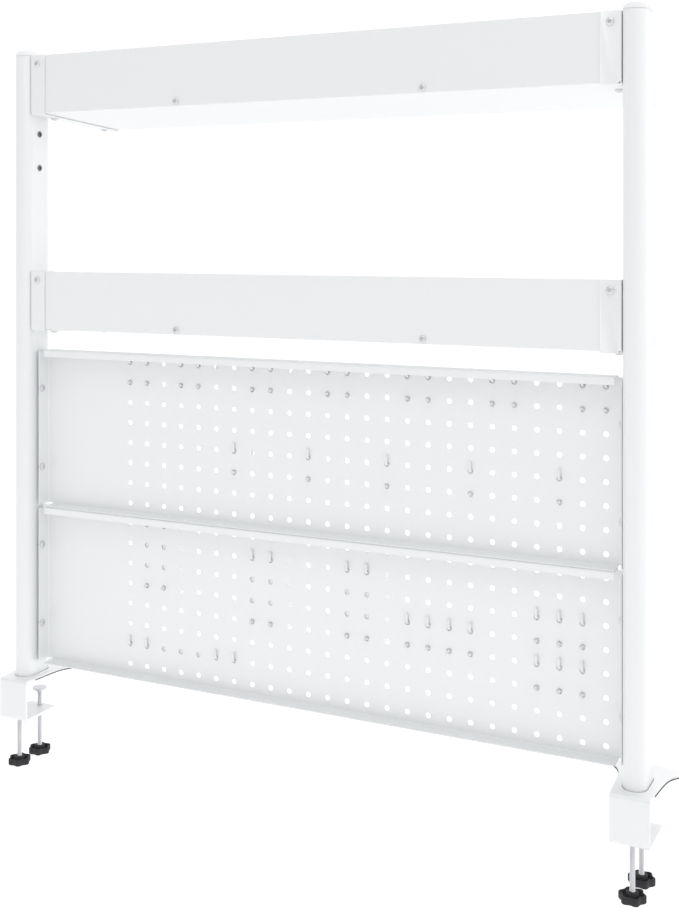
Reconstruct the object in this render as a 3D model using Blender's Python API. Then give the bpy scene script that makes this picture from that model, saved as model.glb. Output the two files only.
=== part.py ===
"""A clamp-on pegboard tool wall: two posts on desk clamps carry two pegboards and two shelves.

Metres, +Z up. The desk top is the plane z = 0 and its back edge is the line y = 0, midway between the
two clamps. The person at the desk is on the -Y side.
"""

import math

import bmesh
import bpy
from mathutils import Matrix, Vector

# Pegboards
BOARD_WIDTH = 0.762
BOARD_HEIGHT = 0.2032
BOARD_LIFT = 0.0178  # from the desk top to the lower board
SHEET = 0.0012
PEG_PITCH = 0.0254
PEG_HOLE = 0.00635
PEG_SIDES = 6
PEG_EDGE = 0.0127  # from the top edge to the first row
BLANK_END = 0.131  # from the +X edge to the first column
OTHER_END = 0.0200  # least space past the last column
SIDE_FLANGE = 0.0186
LIP_DEPTH = 0.018
LIP_DROP = 0.009
LIP_SHORT = 0.008  # how far the lip ends before the board does

# Posts
POST_LENGTH = 0.800
POST_WIDTH = 0.025
POST_DEPTH = 0.050
POST_WALL = 0.0015
POST_FOOT = 0.004
POST_INSET = 0.0095  # from the desk's back edge to the post
SPARE_DROP = 0.0238  # from the top shelf down to the first spare hole
SPARE_SPACING = 0.0437
CAP_RISE = 0.0080
CAP_RIM = 0.0015
CAP_PLUG = 0.014
SIDE_SPACE = 0.003  # between a board's end and the post

# Shelves
SHELF_DEPTH = 0.166
SHELF_DROP = 0.010  # how much lower the front edge is
PANEL_HEIGHT = 0.0762
SHELF_OVER_BOARD = 0.0251
BRACKET_SHEET = 0.0015
BRACKET_FLANGE = 0.0227
BRACKET_LEDGE = 0.020
BRACKET_NOSE = 0.018  # bracket height at its front
TRAY_LIP = 0.014
PANEL_SET_BACK = 0.0315  # from the boards' back face to the panels' outer side

# Clamps
CLAMP_PLATE = 0.003
CLAMP_WIDTH = 0.0414
CLAMP_THROAT = 0.0455
CLAMP_CREASE = 0.0035  # outer radius of the upper fold
CLAMP_FOLD = 0.005  # outer radius of the lower fold
CLAMP_REACH = 0.090
NECK_SPREAD = 0.0055  # how much the neck widens on each side
EAR_SPAN = 0.038  # from the middle of the clamp to the middle of an ear's tip
EAR_PLACE = 0.078  # from the desk's back edge to the middle of an ear's tip
EAR_TIP = 0.003
JAW_NOSE = 0.007  # from the front screw to the jaw's front edge
JAW_CORNER = 0.004

# Clamp screws
ROD_LENGTH = 0.080
ROD_DIAMETER = 0.006
ROD_SPACING = 0.040
PAD_DIAMETER = 0.019
PAD_SPACE = 0.0005  # between the rear pad and the clamp's back
PAD_THICKNESS = 0.003
PAD_DEPTH = 0.022  # from the desk top's plane to the pad
PAD_COLLAR = 0.003
KNOB_DIAMETER = 0.029
KNOB_HEIGHT = 0.008
KNOB_HUB = 0.002
KNOB_LOBES = 6
LOBE_DEPTH = 0.0026

# Screws through the boards' side flanges and up into the posts
SCREW_DIAMETER = 0.005
SCREW_LENGTH = 0.012
SCREW_HEAD = 0.009
SCREW_HEAD_HEIGHT = 0.0025
FLANGE_SCREW_INSET = 0.0125  # from a board's back face
FOOT_BOLT_DIAMETER = 0.006
FOOT_BOLT_HEAD = 0.0115
FOOT_BOLT_LENGTH = 0.012

# Hooks and holders on the boards
WIRE = 0.0036
TANG_SPACE = 0.001  # between a tang's tip and the board's top lip
PIN_LENGTH = 0.007
HOOK_PLATE = 0.0015
HOOK_PLATE_SIDE = 0.007  # from the outer peg to the plate's edge
HOOK_REACH = 0.038
HOOK_TIP = 0.012
CUP_WIDTH = 0.058
CUP_DEPTH = 0.050
CUP_RAISE = 0.010  # how far the rim stands above the top peg
HOLDER_WALL = 0.0015
BIN_WIDTH = 0.066
BIN_DEPTH = 0.042
RACK_COLUMNS = 7
RACK_DEPTH = 0.036
RACK_HEIGHT = 0.018

GAP = 0.0003  # between pieces that touch
RUNNING = 0.0004  # round a shaft in its hole
TINY = 1e-9

# Heights and places that follow from those sizes
BOARDS_TOP = BOARD_LIFT + 2 * BOARD_HEIGHT
POST_BASE = CLAMP_PLATE + GAP
POST_TOP = POST_BASE + POST_LENGTH
POST_Y = -(POST_INSET + POST_DEPTH / 2)
POST_FLAT = POST_DEPTH - POST_WIDTH
BOARD_BACK = POST_Y - POST_FLAT / 2
SCREW_Y = BOARD_BACK + FLANGE_SCREW_INSET
BOARD_FRONT = BOARD_BACK - SHEET
TANG_RISE = PEG_EDGE - SHEET - TANG_SPACE
HALF_BOARD = BOARD_WIDTH / 2
POST_INNER = HALF_BOARD + SIDE_SPACE
POST_X = POST_INNER + POST_WIDTH / 2
SHELF_BACK = BOARD_BACK + PANEL_SET_BACK
SHELF_BOTTOMS = {"middle": BOARDS_TOP + SHELF_OVER_BOARD, "top": POST_TOP - PANEL_HEIGHT}
PEG_ROWS = int((BOARD_HEIGHT - 2 * PEG_EDGE) / PEG_PITCH + 1 + TINY)
PEG_COLUMNS = int((BOARD_WIDTH - BLANK_END - OTHER_END) / PEG_PITCH + 1)
ROD_FROM_BACK = PAD_DIAMETER / 2 + PAD_SPACE
JAW_REACH = ROD_FROM_BACK + ROD_SPACING + JAW_NOSE
SIDES = {"left": 1, "right": -1}


def finish(name, colour, roughness, metallic=0.0):
    """A Principled material."""
    made = bpy.data.materials.new(name)
    made.use_nodes = True
    shader = made.node_tree.nodes["Principled BSDF"]
    shader.inputs["Base Color"].default_value = (*colour, 1.0)
    shader.inputs["Roughness"].default_value = roughness
    shader.inputs["Metallic"].default_value = metallic
    return made


def clear_scene():
    for old in list(bpy.data.objects):
        bpy.data.objects.remove(old, do_unlink=True)


def add(name, mesh, look=None, place=Matrix.Identity(4)):
    """An object that shows a mesh at a place."""
    made = bpy.data.objects.new(name, mesh)
    made.matrix_world = place
    bpy.context.scene.collection.objects.link(made)
    if look and not mesh.materials:
        mesh.materials.append(look)
    return made


def mesh_from(shape, smooth_degrees=40):
    """A mesh made from a bmesh, with its faces turned outwards and its round sides shaded smooth."""
    bmesh.ops.recalc_face_normals(shape, faces=shape.faces)
    mesh = bpy.data.meshes.new("shape")
    shape.to_mesh(mesh)
    shape.free()
    mesh.shade_smooth()
    mesh.set_sharp_from_angle(angle=math.radians(smooth_degrees))
    return mesh


def loft(rings):
    """A closed solid through rings of points, flat at both ends."""
    shape = bmesh.new()
    loops = [[shape.verts.new(point) for point in ring] for ring in rings]
    count = len(loops[0])
    for low, high in zip(loops, loops[1:]):
        for i in range(count):
            j = (i + 1) % count
            shape.faces.new((low[i], low[j], high[j], high[i]))
    shape.faces.new(loops[0][::-1])
    shape.faces.new(loops[-1])
    return mesh_from(shape)


def along(axis, u, v, w):
    """A point at (u, v) on the plane across an axis and w along it."""
    return {"X": (w, u, v), "Y": (u, w, v), "Z": (u, v, w)}[axis]


def prism(outline, low, high, axis="Z"):
    """An outline drawn out along an axis."""
    return loft([[along(axis, u, v, w) for u, v in outline] for w in (low, high)])


def block(x, y, z):
    """A box from three (low, high) pairs."""
    return prism([(x[0], y[0]), (x[1], y[0]), (x[1], y[1]), (x[0], y[1])], *z)


def circle(radius, sides, centre=(0.0, 0.0), turn=0.0):
    """Points round a circle, with the radius to the corners."""
    angles = [turn + 2 * math.pi * i / sides for i in range(sides)]
    return [(centre[0] + radius * math.cos(a), centre[1] + radius * math.sin(a)) for a in angles]


def arc(centre, radius, start, end, steps):
    """Points on an arc, from one angle in degrees to another."""
    angles = [math.radians(start + (end - start) * i / steps) for i in range(steps + 1)]
    return [(centre[0] + radius * math.cos(a), centre[1] + radius * math.sin(a)) for a in angles]


def oval(width, depth, steps=8):
    """The outline of a flat-sided tube with round front and back."""
    radius, centre = width / 2, (depth - width) / 2
    return arc((0, centre), radius, 0, 180, steps) + arc((0, -centre), radius, 180, 360, steps)


def turned(profile, sides, centre=(0.0, 0.0)):
    """A solid turned about a line along Z, from (radius, height) pairs."""
    return loft([[(x, y, z) for x, y in circle(r, sides, centre)] for r, z in profile])


def bent_wire(path, diameter, sides=6):
    """A round wire along (y, z) points in the plane x = 0, mitred at its bends."""
    radius = diameter / 2
    points = [Vector((0, y, z)) for y, z in path]
    rings = []
    for i, point in enumerate(points):
        before = (point - points[i - 1]).normalized() if i else None
        after = (points[i + 1] - point).normalized() if i + 1 < len(points) else None
        tangent = ((before or after) + (after or before)).normalized()
        normal = Vector((1, 0, 0)).cross(tangent)
        stretch = 1 / tangent.dot(before or after)
        rings.append(
            [point + Vector((radius * c, 0, 0)) + normal * radius * s * stretch for c, s in circle(1, sides)]
        )
    return loft(rings)


def worked(mesh, join=(), cut=()):
    """A mesh with others joined to it and cut from it."""
    body = add("body", mesh)
    tools = [("UNION", add("tool", m)) for m in join] + [("DIFFERENCE", add("tool", m)) for m in cut]
    for operation, tool in tools:
        step = body.modifiers.new(operation, "BOOLEAN")
        step.operation = operation
        step.object = tool
        tool.hide_render = True
        tool.display_type = "WIRE"
    graph = bpy.context.evaluated_depsgraph_get()
    made = bpy.data.meshes.new_from_object(body.evaluated_get(graph))
    for used in [body] + [tool for _, tool in tools]:
        bpy.data.objects.remove(used, do_unlink=True)
    made.shade_smooth()
    made.set_sharp_from_angle(angle=math.radians(40))
    return made


def moved(mesh, offset):
    """A copy of a mesh at an offset."""
    copy = mesh.copy()
    copy.transform(Matrix.Translation(offset))
    return copy


def mirrored(mesh):
    """A copy of a mesh on the other side of the plane x = 0."""
    copy = mesh.copy()
    copy.transform(Matrix.Diagonal((-1, 1, 1, 1)))
    copy.flip_normals()
    return copy


# ---------------------------------------------------------------- pegboards


def peg_x(column):
    """The place of a column of holes, counted from the +X end."""
    return HALF_BOARD - BLANK_END - PEG_PITCH * (column - 1)


def board_bottom(number):
    """The height of a board's lower edge, with board 0 the lower one."""
    return BOARD_LIFT + number * BOARD_HEIGHT


def peg_z(number, row):
    """The height of a row of holes, counted from a board's top edge."""
    return board_bottom(number) + BOARD_HEIGHT - PEG_EDGE - PEG_PITCH * (row - 1)


def flange_screw_heights():
    """The two screws in each side flange, above the board's lower edge."""
    return [BOARD_HEIGHT / 4, BOARD_HEIGHT * 3 / 4]


def perforated_web():
    """The flat front of a board with its grid of round holes, standing on z = 0."""
    top = BOARD_HEIGHT - GAP
    outer = [(-HALF_BOARD, 0), (HALF_BOARD, 0), (HALF_BOARD, top), (-HALF_BOARD, top)]
    outlines = [outer]
    for column in range(1, PEG_COLUMNS + 1):
        for row in range(1, PEG_ROWS + 1):
            centre = (peg_x(column), BOARD_HEIGHT - PEG_EDGE - PEG_PITCH * (row - 1))
            outlines.append(circle(PEG_HOLE / 2, PEG_SIDES, centre))
    shape = bmesh.new()
    for outline in outlines:
        loop = [shape.verts.new((x, BOARD_FRONT, z)) for x, z in outline]
        for a, b in zip(loop, loop[1:] + loop[:1]):
            shape.edges.new((a, b))
    bmesh.ops.triangle_fill(shape, use_beauty=True, use_dissolve=False, edges=shape.edges)
    drawn = bmesh.ops.extrude_face_region(shape, geom=shape.faces[:])
    new = [item for item in drawn["geom"] if isinstance(item, bmesh.types.BMVert)]
    bmesh.ops.translate(shape, verts=new, vec=(0, SHEET, 0))
    return mesh_from(shape)


def board_mesh():
    """A pegboard bent from one sheet: a web with a lip, a foot and two drilled side flanges."""
    top, lip_back = BOARD_HEIGHT - GAP, BOARD_BACK + LIP_DEPTH
    lip_half = HALF_BOARD - LIP_SHORT
    inside = BOARD_BACK - SHEET / 2
    pieces = [
        block((-lip_half, lip_half), (inside, lip_back), (top - SHEET, top)),
        block((-lip_half, lip_half), (lip_back - SHEET, lip_back), (top - LIP_DROP, top)),
        block((-HALF_BOARD, HALF_BOARD), (inside, lip_back), (0, SHEET)),
    ]
    holes = []
    for side in SIDES.values():
        ends = sorted((side * HALF_BOARD, side * (HALF_BOARD - SHEET)))
        heights = (2 * SHEET, top - 2 * SHEET)
        pieces.append(block(ends, (inside, BOARD_BACK + SIDE_FLANGE), heights))
        for z in flange_screw_heights():
            drill = circle(SCREW_DIAMETER / 2 + RUNNING, 8, (SCREW_Y, z))
            holes.append(prism(drill, ends[0] - SHEET, ends[1] + SHEET, "X"))
    return worked(perforated_web(), pieces, holes)


def screw_mesh():
    """A pan-head screw along +X, with its head's inner face at the origin."""
    radius, head = SCREW_DIAMETER / 2, SCREW_HEAD / 2
    profile = [
        (head * 0.7, -SCREW_HEAD_HEIGHT),
        (head, -SCREW_HEAD_HEIGHT * 0.5),
        (head, 0.0),
        (radius, 0.0),
        (radius, SCREW_LENGTH),
    ]
    return loft([[(w, u, v) for u, v in circle(r, 8)] for r, w in profile])


def add_boards(look, metal):
    mesh, screw = board_mesh(), screw_mesh()
    for number, name in enumerate(("lower", "upper")):
        bottom = board_bottom(number)
        add(f"pegboard_{name}", mesh, look, Matrix.Translation((0, 0, bottom)))
        for side_name, side in SIDES.items():
            for end, z in zip(("low", "high"), flange_screw_heights()):
                x = side * (HALF_BOARD - SHEET - GAP)
                place = Matrix.Translation((x, SCREW_Y, bottom + z))
                if side < 0:
                    place = place @ Matrix.Rotation(math.pi, 4, "Z")
                add(f"board_screw_{name}_{side_name}_{end}", screw, metal, place)


# ---------------------------------------------------------------- posts


def post_screw_heights():
    """Where the boards' screws enter a post, and the two spare holes under the top shelf."""
    boards = [board_bottom(n) + z for n in range(2) for z in flange_screw_heights()]
    spare = SHELF_BOTTOMS["top"] - SPARE_DROP
    return boards + [spare, spare - SPARE_SPACING]


def post_mesh():
    """A flat-sided oval tube with a foot plate inside, drilled on its inner side, for the +X end."""
    solid = prism(oval(POST_WIDTH, POST_DEPTH), POST_BASE, POST_TOP)
    bore = oval(POST_WIDTH - 2 * POST_WALL, POST_DEPTH - 2 * POST_WALL)
    cuts = [prism(bore, POST_BASE + POST_FOOT, POST_TOP + POST_WALL)]
    foot = circle(FOOT_BOLT_DIAMETER / 2 + RUNNING, 12)
    cuts.append(prism(foot, POST_BASE - POST_FOOT, POST_BASE + 2 * POST_FOOT))
    for z in post_screw_heights():
        drill = circle(SCREW_DIAMETER / 2 + RUNNING, 8, (SCREW_Y - POST_Y, z))
        cuts.append(prism(drill, -POST_WIDTH / 2 - POST_WALL, -POST_WIDTH / 2 + 2 * POST_WALL, "X"))
    return worked(solid, cut=cuts)


def cap_mesh():
    """A domed plug for a post's top end."""
    plug = 2 * (POST_WALL + GAP)
    base = POST_TOP + GAP
    rings = [(plug, base - CAP_PLUG), (plug, base), (0.0, base), (0.0, base + CAP_RIM)]
    for step in (30, 60, 80):
        angle = math.radians(step)
        inward = POST_WIDTH * 0.9 * (1 - math.cos(angle))
        rings.append((inward, base + CAP_RIM + (CAP_RISE - CAP_RIM) * math.sin(angle)))
    outlines = [[(x, y, z) for x, y in oval(POST_WIDTH - d, POST_DEPTH - d)] for d, z in rings]
    return loft(outlines)


def foot_bolt_mesh():
    """A flat-headed bolt up through the clamp into the post's foot."""
    radius, head = FOOT_BOLT_DIAMETER / 2, FOOT_BOLT_HEAD / 2
    profile = [(head, GAP), (radius, GAP + head - radius), (radius, GAP + FOOT_BOLT_LENGTH)]
    return turned([(head, GAP / 2)] + profile, 12)


def add_posts(look, plastic, metal):
    post, cap, bolt = post_mesh(), cap_mesh(), foot_bolt_mesh()
    other = mirrored(post)
    for name, side in SIDES.items():
        place = Matrix.Translation((side * POST_X, POST_Y, 0))
        add(f"post_{name}", post if side > 0 else other, look, place)
        add(f"post_cap_{name}", cap, plastic, place)
        add(f"post_foot_bolt_{name}", bolt, metal, place)


# ---------------------------------------------------------------- shelves


def shelf_floor(y):
    """The height of a shelf's underside over its rear edge's, at a place from back to front."""
    return -SHELF_DROP * (SHELF_BACK - y) / SHELF_DEPTH


def sloping_strip(back, front, low, high):
    """A side view of a strip that follows the shelf's slope, between two heights over its underside."""
    return [(y, shelf_floor(y) + dz) for y, dz in ((back, low), (front, low), (front, high), (back, high))]


def bracket_mesh():
    """The +X side bracket: a plate with a flange behind and a ledge under the tray. Rear foot at z = 0."""
    outer = POST_INNER - GAP
    inner = outer - BRACKET_SHEET
    front = SHELF_BACK - SHELF_DEPTH
    plate = [
        (SHELF_BACK, 0),
        (SHELF_BACK, PANEL_HEIGHT),
        (POST_Y - POST_DEPTH / 2, PANEL_HEIGHT),
        (front, shelf_floor(front) + BRACKET_NOSE),
        (front, shelf_floor(front)),
    ]
    flange = block(
        (outer - BRACKET_FLANGE, inner + BRACKET_SHEET / 2),
        (SHELF_BACK - BRACKET_SHEET, SHELF_BACK),
        (0, PANEL_HEIGHT),
    )
    strip = sloping_strip(SHELF_BACK - BRACKET_SHEET / 2, front, 0, BRACKET_SHEET)
    ledge = prism(strip, outer - BRACKET_LEDGE, inner + BRACKET_SHEET / 2, "X")
    return worked(prism(plate, inner, outer, "X"), [flange, ledge])


def panel_mesh():
    """The back panel, in front of the two bracket flanges."""
    half = POST_INNER - BRACKET_SHEET - 2 * GAP
    back = SHELF_BACK - BRACKET_SHEET - GAP
    return block((-half, half), (back - SHEET, back), (BRACKET_SHEET + 2 * GAP, PANEL_HEIGHT))


def tray_mesh():
    """The sloping tray, with a lip along its back and one square to its floor along its front."""
    half = POST_INNER - BRACKET_SHEET - 2 * GAP
    back = SHELF_BACK - BRACKET_SHEET - SHEET - 2 * GAP
    front = SHELF_BACK - SHELF_DEPTH
    under = BRACKET_SHEET + GAP
    floor = sloping_strip(back, front, under, under + SHEET)
    lean = TRAY_LIP * SHELF_DROP / SHELF_DEPTH
    outline = [
        floor[0],
        floor[1],
        (front - lean, floor[1][1] + TRAY_LIP),
        (front + SHEET - lean, floor[1][1] + TRAY_LIP),
        (front + SHEET, shelf_floor(front + SHEET) + under + SHEET),
        (back - SHEET, shelf_floor(back - SHEET) + under + SHEET),
        (back - SHEET, floor[0][1] + TRAY_LIP),
        (back, floor[0][1] + TRAY_LIP),
    ]
    return prism(outline, -half, half, "X")


def add_shelves(look):
    bracket, panel, tray = bracket_mesh(), panel_mesh(), tray_mesh()
    other = mirrored(bracket)
    for name, z in SHELF_BOTTOMS.items():
        place = Matrix.Translation((0, 0, z))
        add(f"shelf_{name}_tray", tray, look, place)
        add(f"shelf_{name}_back_panel", panel, look, place)
        for side_name, side in SIDES.items():
            add(f"shelf_{name}_bracket_{side_name}", bracket if side > 0 else other, look, place)


# ---------------------------------------------------------------- clamps


def top_plate_outline():
    """The plate on the desk: a neck that widens and sweeps out into two ears, with a bowed front edge."""
    half, start, shoulder = CLAMP_WIDTH / 2, CLAMP_PLATE - CLAMP_CREASE, EAR_TIP - EAR_PLACE
    sweep = EAR_SPAN - NECK_SPREAD - half
    right = []
    for step in range(11):
        t = math.sqrt(step / 10)
        right.append((half + NECK_SPREAD * t + sweep * t**8, start + (shoulder - start) * t))
    right += arc((EAR_SPAN, -EAR_PLACE), EAR_TIP, 90, -90, 6)[1:]
    bow = CLAMP_REACH - EAR_PLACE - EAR_TIP
    right += [(EAR_SPAN * (1 - k / 5), -CLAMP_REACH + bow * (1 - k / 5) ** 2) for k in range(1, 5)]
    return right + [(0.0, -CLAMP_REACH)] + [(-x, y) for x, y in reversed(right)]


def jaw_outline():
    """The lower jaw, with rounded front corners."""
    half, front = CLAMP_WIDTH / 2, -JAW_REACH
    corner = arc((half - JAW_CORNER, front + JAW_CORNER), JAW_CORNER, 0, -90, 4)
    right = [(half, CLAMP_PLATE - CLAMP_FOLD)] + corner
    return right + [(-x, y) for x, y in reversed(right)]


def folded_back():
    """The side view of the clamp's back, with its two folds and a stub of each arm."""
    floor = -(CLAMP_THROAT + CLAMP_PLATE)
    stub = CLAMP_PLATE - 2 * CLAMP_FOLD
    upper = (CLAMP_PLATE - CLAMP_CREASE, CLAMP_PLATE - CLAMP_CREASE)
    lower = (CLAMP_PLATE - CLAMP_FOLD, floor + CLAMP_FOLD)
    outside = arc(upper, CLAMP_CREASE, 90, 0, 4) + arc(lower, CLAMP_FOLD, 0, -90, 5)
    inside = arc(lower, CLAMP_FOLD - CLAMP_PLATE, -90, 0, 3) + arc(upper, CLAMP_CREASE - CLAMP_PLATE, 0, 90, 2)
    return [(stub, CLAMP_PLATE)] + outside + [(stub, floor), (stub, floor + CLAMP_PLATE)] + inside + [(stub, 0)]


def rod_places():
    """The distances of the two clamp screws from the desk's back edge."""
    return {"rear": -ROD_FROM_BACK, "front": -(ROD_FROM_BACK + ROD_SPACING)}


def clamp_mesh():
    """A clamp folded from one thick strip, with two screw holes in its jaw."""
    floor = -(CLAMP_THROAT + CLAMP_PLATE)
    back = prism(folded_back(), -CLAMP_WIDTH / 2, CLAMP_WIDTH / 2, "X")
    jaw = prism(jaw_outline(), floor, floor + CLAMP_PLATE)
    cuts = [
        prism(circle(ROD_DIAMETER / 2 + RUNNING, 16, (0, y)), floor - CLAMP_PLATE, floor + 2 * CLAMP_PLATE)
        for y in rod_places().values()
    ]
    radius, head = FOOT_BOLT_DIAMETER / 2 + RUNNING, FOOT_BOLT_HEAD / 2 + RUNNING
    sink = [(head, -CLAMP_PLATE), (head, GAP), (radius, GAP + head - radius), (radius, 2 * CLAMP_PLATE)]
    cuts.append(turned(sink, 12, (0, POST_Y)))
    return worked(prism(top_plate_outline(), 0, CLAMP_PLATE), [back, jaw], cuts)


def rod_mesh():
    """A threaded rod from the pad down into the knob."""
    top = -PAD_DEPTH - PAD_THICKNESS + GAP
    radius = ROD_DIAMETER / 2
    profile = [(radius, top - ROD_LENGTH), (radius, top - radius / 3), (radius * 0.7, top)]
    return turned(profile, 16)


def pad_mesh():
    """A swivel pad with a collar round the rod's tip."""
    top, under = -PAD_DEPTH, -PAD_DEPTH - PAD_THICKNESS
    radius, inner = PAD_DIAMETER / 2, ROD_DIAMETER / 2
    profile = [(inner * 1.35, under - PAD_COLLAR), (inner * 1.45, under), (radius, under), (radius, top)]
    pocket = turned([(inner + RUNNING, under - 2 * PAD_COLLAR), (inner + RUNNING, under + 2 * GAP)], 16)
    return worked(turned(profile, 16), cut=[pocket])


def knob_mesh():
    """A lobed hand knob with a hub and a blind bore for the rod."""
    rod_end = -PAD_DEPTH - PAD_THICKNESS + GAP - ROD_LENGTH
    under = rod_end - KNOB_HEIGHT * 0.4
    over = under + KNOB_HEIGHT
    points = KNOB_LOBES * 6
    mean = KNOB_DIAMETER / 2 - LOBE_DEPTH / 2
    rim = []
    for i in range(points):
        angle = 2 * math.pi * i / points
        radius = mean + LOBE_DEPTH / 2 * math.cos(KNOB_LOBES * angle)
        rim.append((radius * math.cos(angle), radius * math.sin(angle)))
    hub = turned([(ROD_DIAMETER * 1.2, under + KNOB_HEIGHT / 2), (ROD_DIAMETER * 1.1, over + KNOB_HUB)], 12)
    bore = turned([(ROD_DIAMETER / 2 + RUNNING, rod_end - GAP), (ROD_DIAMETER / 2 + RUNNING, over + 0.01)], 16)
    return worked(prism(rim, under, over), [hub], [bore])


def add_clamps(look, metal, plastic):
    clamp, rod, pad, knob = clamp_mesh(), rod_mesh(), pad_mesh(), knob_mesh()
    for side_name, side in SIDES.items():
        add(f"clamp_{side_name}", clamp, look, Matrix.Translation((side * POST_X, 0, 0)))
        for end, y in rod_places().items():
            place = Matrix.Translation((side * POST_X, y, 0))
            add(f"clamp_rod_{side_name}_{end}", rod, metal, place)
            add(f"clamp_pad_{side_name}_{end}", pad, metal, place)
            add(f"clamp_knob_{side_name}_{end}", knob, plastic, place)


# ---------------------------------------------------------------- hooks and holders
# Each is made round its top left peg hole, at x = 0 and z = 0, and then put at a hole.


def tang():
    """A wire through a hole that turns up behind the board."""
    behind = BOARD_BACK + WIRE / 2 + 2 * GAP
    return bent_wire([(BOARD_FRONT - HOOK_PLATE, 0), (behind, 0), (behind, TANG_RISE)], WIRE)


def pin(rows_down):
    """A straight peg through a lower hole."""
    z = -PEG_PITCH * rows_down
    return bent_wire([(BOARD_FRONT - HOOK_PLATE, z), (BOARD_BACK + PIN_LENGTH, z)], WIRE)


def prong(rows_down):
    """A wire that reaches forward and turns up at its tip."""
    z, start = -PEG_PITCH * rows_down * 0.5, BOARD_FRONT - GAP - HOOK_PLATE / 2
    end = BOARD_FRONT - HOOK_REACH
    path = [(start, z), (end, z)]
    path += [(end - HOOK_TIP * 0.35, z + HOOK_TIP * 0.2), (end - HOOK_TIP * 0.5, z + HOOK_TIP)]
    return bent_wire(path, WIRE)


def columns_of(mesh, count):
    """Copies of a mesh at neighbouring columns."""
    return [moved(mesh, (-PEG_PITCH * i, 0, 0)) for i in range(count)]


def hook_mesh(columns):
    """A plate with a tang, a pin and a prong for each of its columns."""
    left, right = -PEG_PITCH * (columns - 1) - HOOK_PLATE_SIDE, HOOK_PLATE_SIDE
    front = BOARD_FRONT - GAP
    heights = (-PEG_PITCH - HOOK_PLATE_SIDE, HOOK_PLATE_SIDE)
    plate = block((left, right), (front - HOOK_PLATE, front), heights)
    wires = [w for mesh in (tang(), pin(1), prong(1)) for w in columns_of(mesh, columns)]
    return worked(plate, wires)


def open_box(x, y, z, wall):
    """A box with no top."""
    space = block(
        (x[0] + wall, x[1] - wall), (y[0] + wall, y[1] - wall), (z[0] + wall, z[1] + wall)
    )
    return worked(block(x, y, z), cut=[space])


def holder_mesh(columns, rows, width, depth, above):
    """An open box hung on tangs along its top row, with pins along its bottom row if it has more rows."""
    middle, front = -PEG_PITCH * (columns - 1) / 2, BOARD_FRONT - GAP
    floor = -PEG_PITCH * (rows - 1) - HOOK_PLATE_SIDE
    body = open_box(
        (middle - width / 2, middle + width / 2), (front - depth, front), (floor, above), HOLDER_WALL
    )
    ends = [tang()] + ([pin(rows - 1)] if rows > 1 else [])
    return worked(body, [w for mesh in ends for w in columns_of(mesh, columns)])


def rack_mesh():
    """A long shallow tray on two pairs of tangs."""
    side, front = HOOK_PLATE_SIDE, BOARD_FRONT - GAP
    low_x = -PEG_PITCH * (RACK_COLUMNS - 1) - side
    body = open_box((low_x, side), (front - RACK_DEPTH, front), (side - RACK_HEIGHT, side), HOLDER_WALL)
    places = [0, 1, RACK_COLUMNS - 2, RACK_COLUMNS - 1]
    return worked(body, [moved(tang(), (-PEG_PITCH * i, 0, 0)) for i in places])


def column_at(share):
    """The column nearest to a share of the grid's width."""
    return 1 + round(share * (PEG_COLUMNS - 1))


def hang(name, mesh, look, number, column, row):
    """Puts a hook or a holder at a hole of a board."""
    place = Matrix.Translation((peg_x(column), 0, peg_z(number, row)))
    add(name, mesh, look, place)


def add_hooks(look):
    double, single = hook_mesh(2), hook_mesh(1)
    doubles, singles, small = 7, 5, 4
    for i in range(doubles):
        column = math.floor(PEG_COLUMNS - 1 - i * (PEG_COLUMNS - 2) / (doubles - 1) + TINY)
        hang(f"double_hook_{i + 1}", double, look, 1, column, 1)
    for i in range(singles):
        hang(f"single_hook_{i + 1}", single, look, 1, PEG_COLUMNS - 2 - 4 * i, 5)
    for i in range(small):
        hang(f"row_hook_{i + 1}", single, look, 0, column_at(15 / 24) + i, 4)


def add_holders(look):
    cup = holder_mesh(2, 4, CUP_WIDTH, CUP_DEPTH, CUP_RAISE)
    for i, (share, row) in enumerate(((1 / 24, 1), (7 / 24, 2), (12 / 24, 2))):
        hang(f"tool_cup_{i + 1}", cup, look, 0, column_at(share), row)
    box = holder_mesh(3, 2, BIN_WIDTH, BIN_DEPTH, HOOK_PLATE_SIDE)
    for name, row in (("upper", 3), ("lower", 5)):
        hang(f"parts_bin_{name}", box, look, 0, column_at(21 / 24), row)
    hang("tool_rack", rack_mesh(), look, 0, 1, PEG_ROWS - 1)


def main():
    clear_scene()
    white = finish("white_powder_coat", (0.86, 0.87, 0.88), 0.45)
    holders = finish("white_holder_coat", (0.84, 0.85, 0.86), 0.4)
    zinc = finish("zinc_plated_steel", (0.72, 0.73, 0.75), 0.3, 1.0)
    caps = finish("white_cap_plastic", (0.85, 0.86, 0.87), 0.5)
    black = finish("black_knob_plastic", (0.02, 0.02, 0.022), 0.45)
    add_boards(white, zinc)
    add_posts(white, caps, zinc)
    add_shelves(white)
    add_clamps(white, zinc, black)
    add_hooks(holders)
    add_holders(holders)
    bpy.context.view_layer.update()


if __name__ == "__main__":
    main()
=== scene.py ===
"""The finished looks of a clamp-on pegboard tool wall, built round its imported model.

Every sub-assembly is a class that holds its sizes in metres, builds its meshes and dresses them. Places come
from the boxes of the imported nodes, so each piece lies exactly where its node does.
"""

import logging
import math
from dataclasses import dataclass, field
from enum import Enum
from typing import Callable, Iterable, Sequence

import bmesh
import bpy
from mathutils import Matrix, Vector

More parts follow.
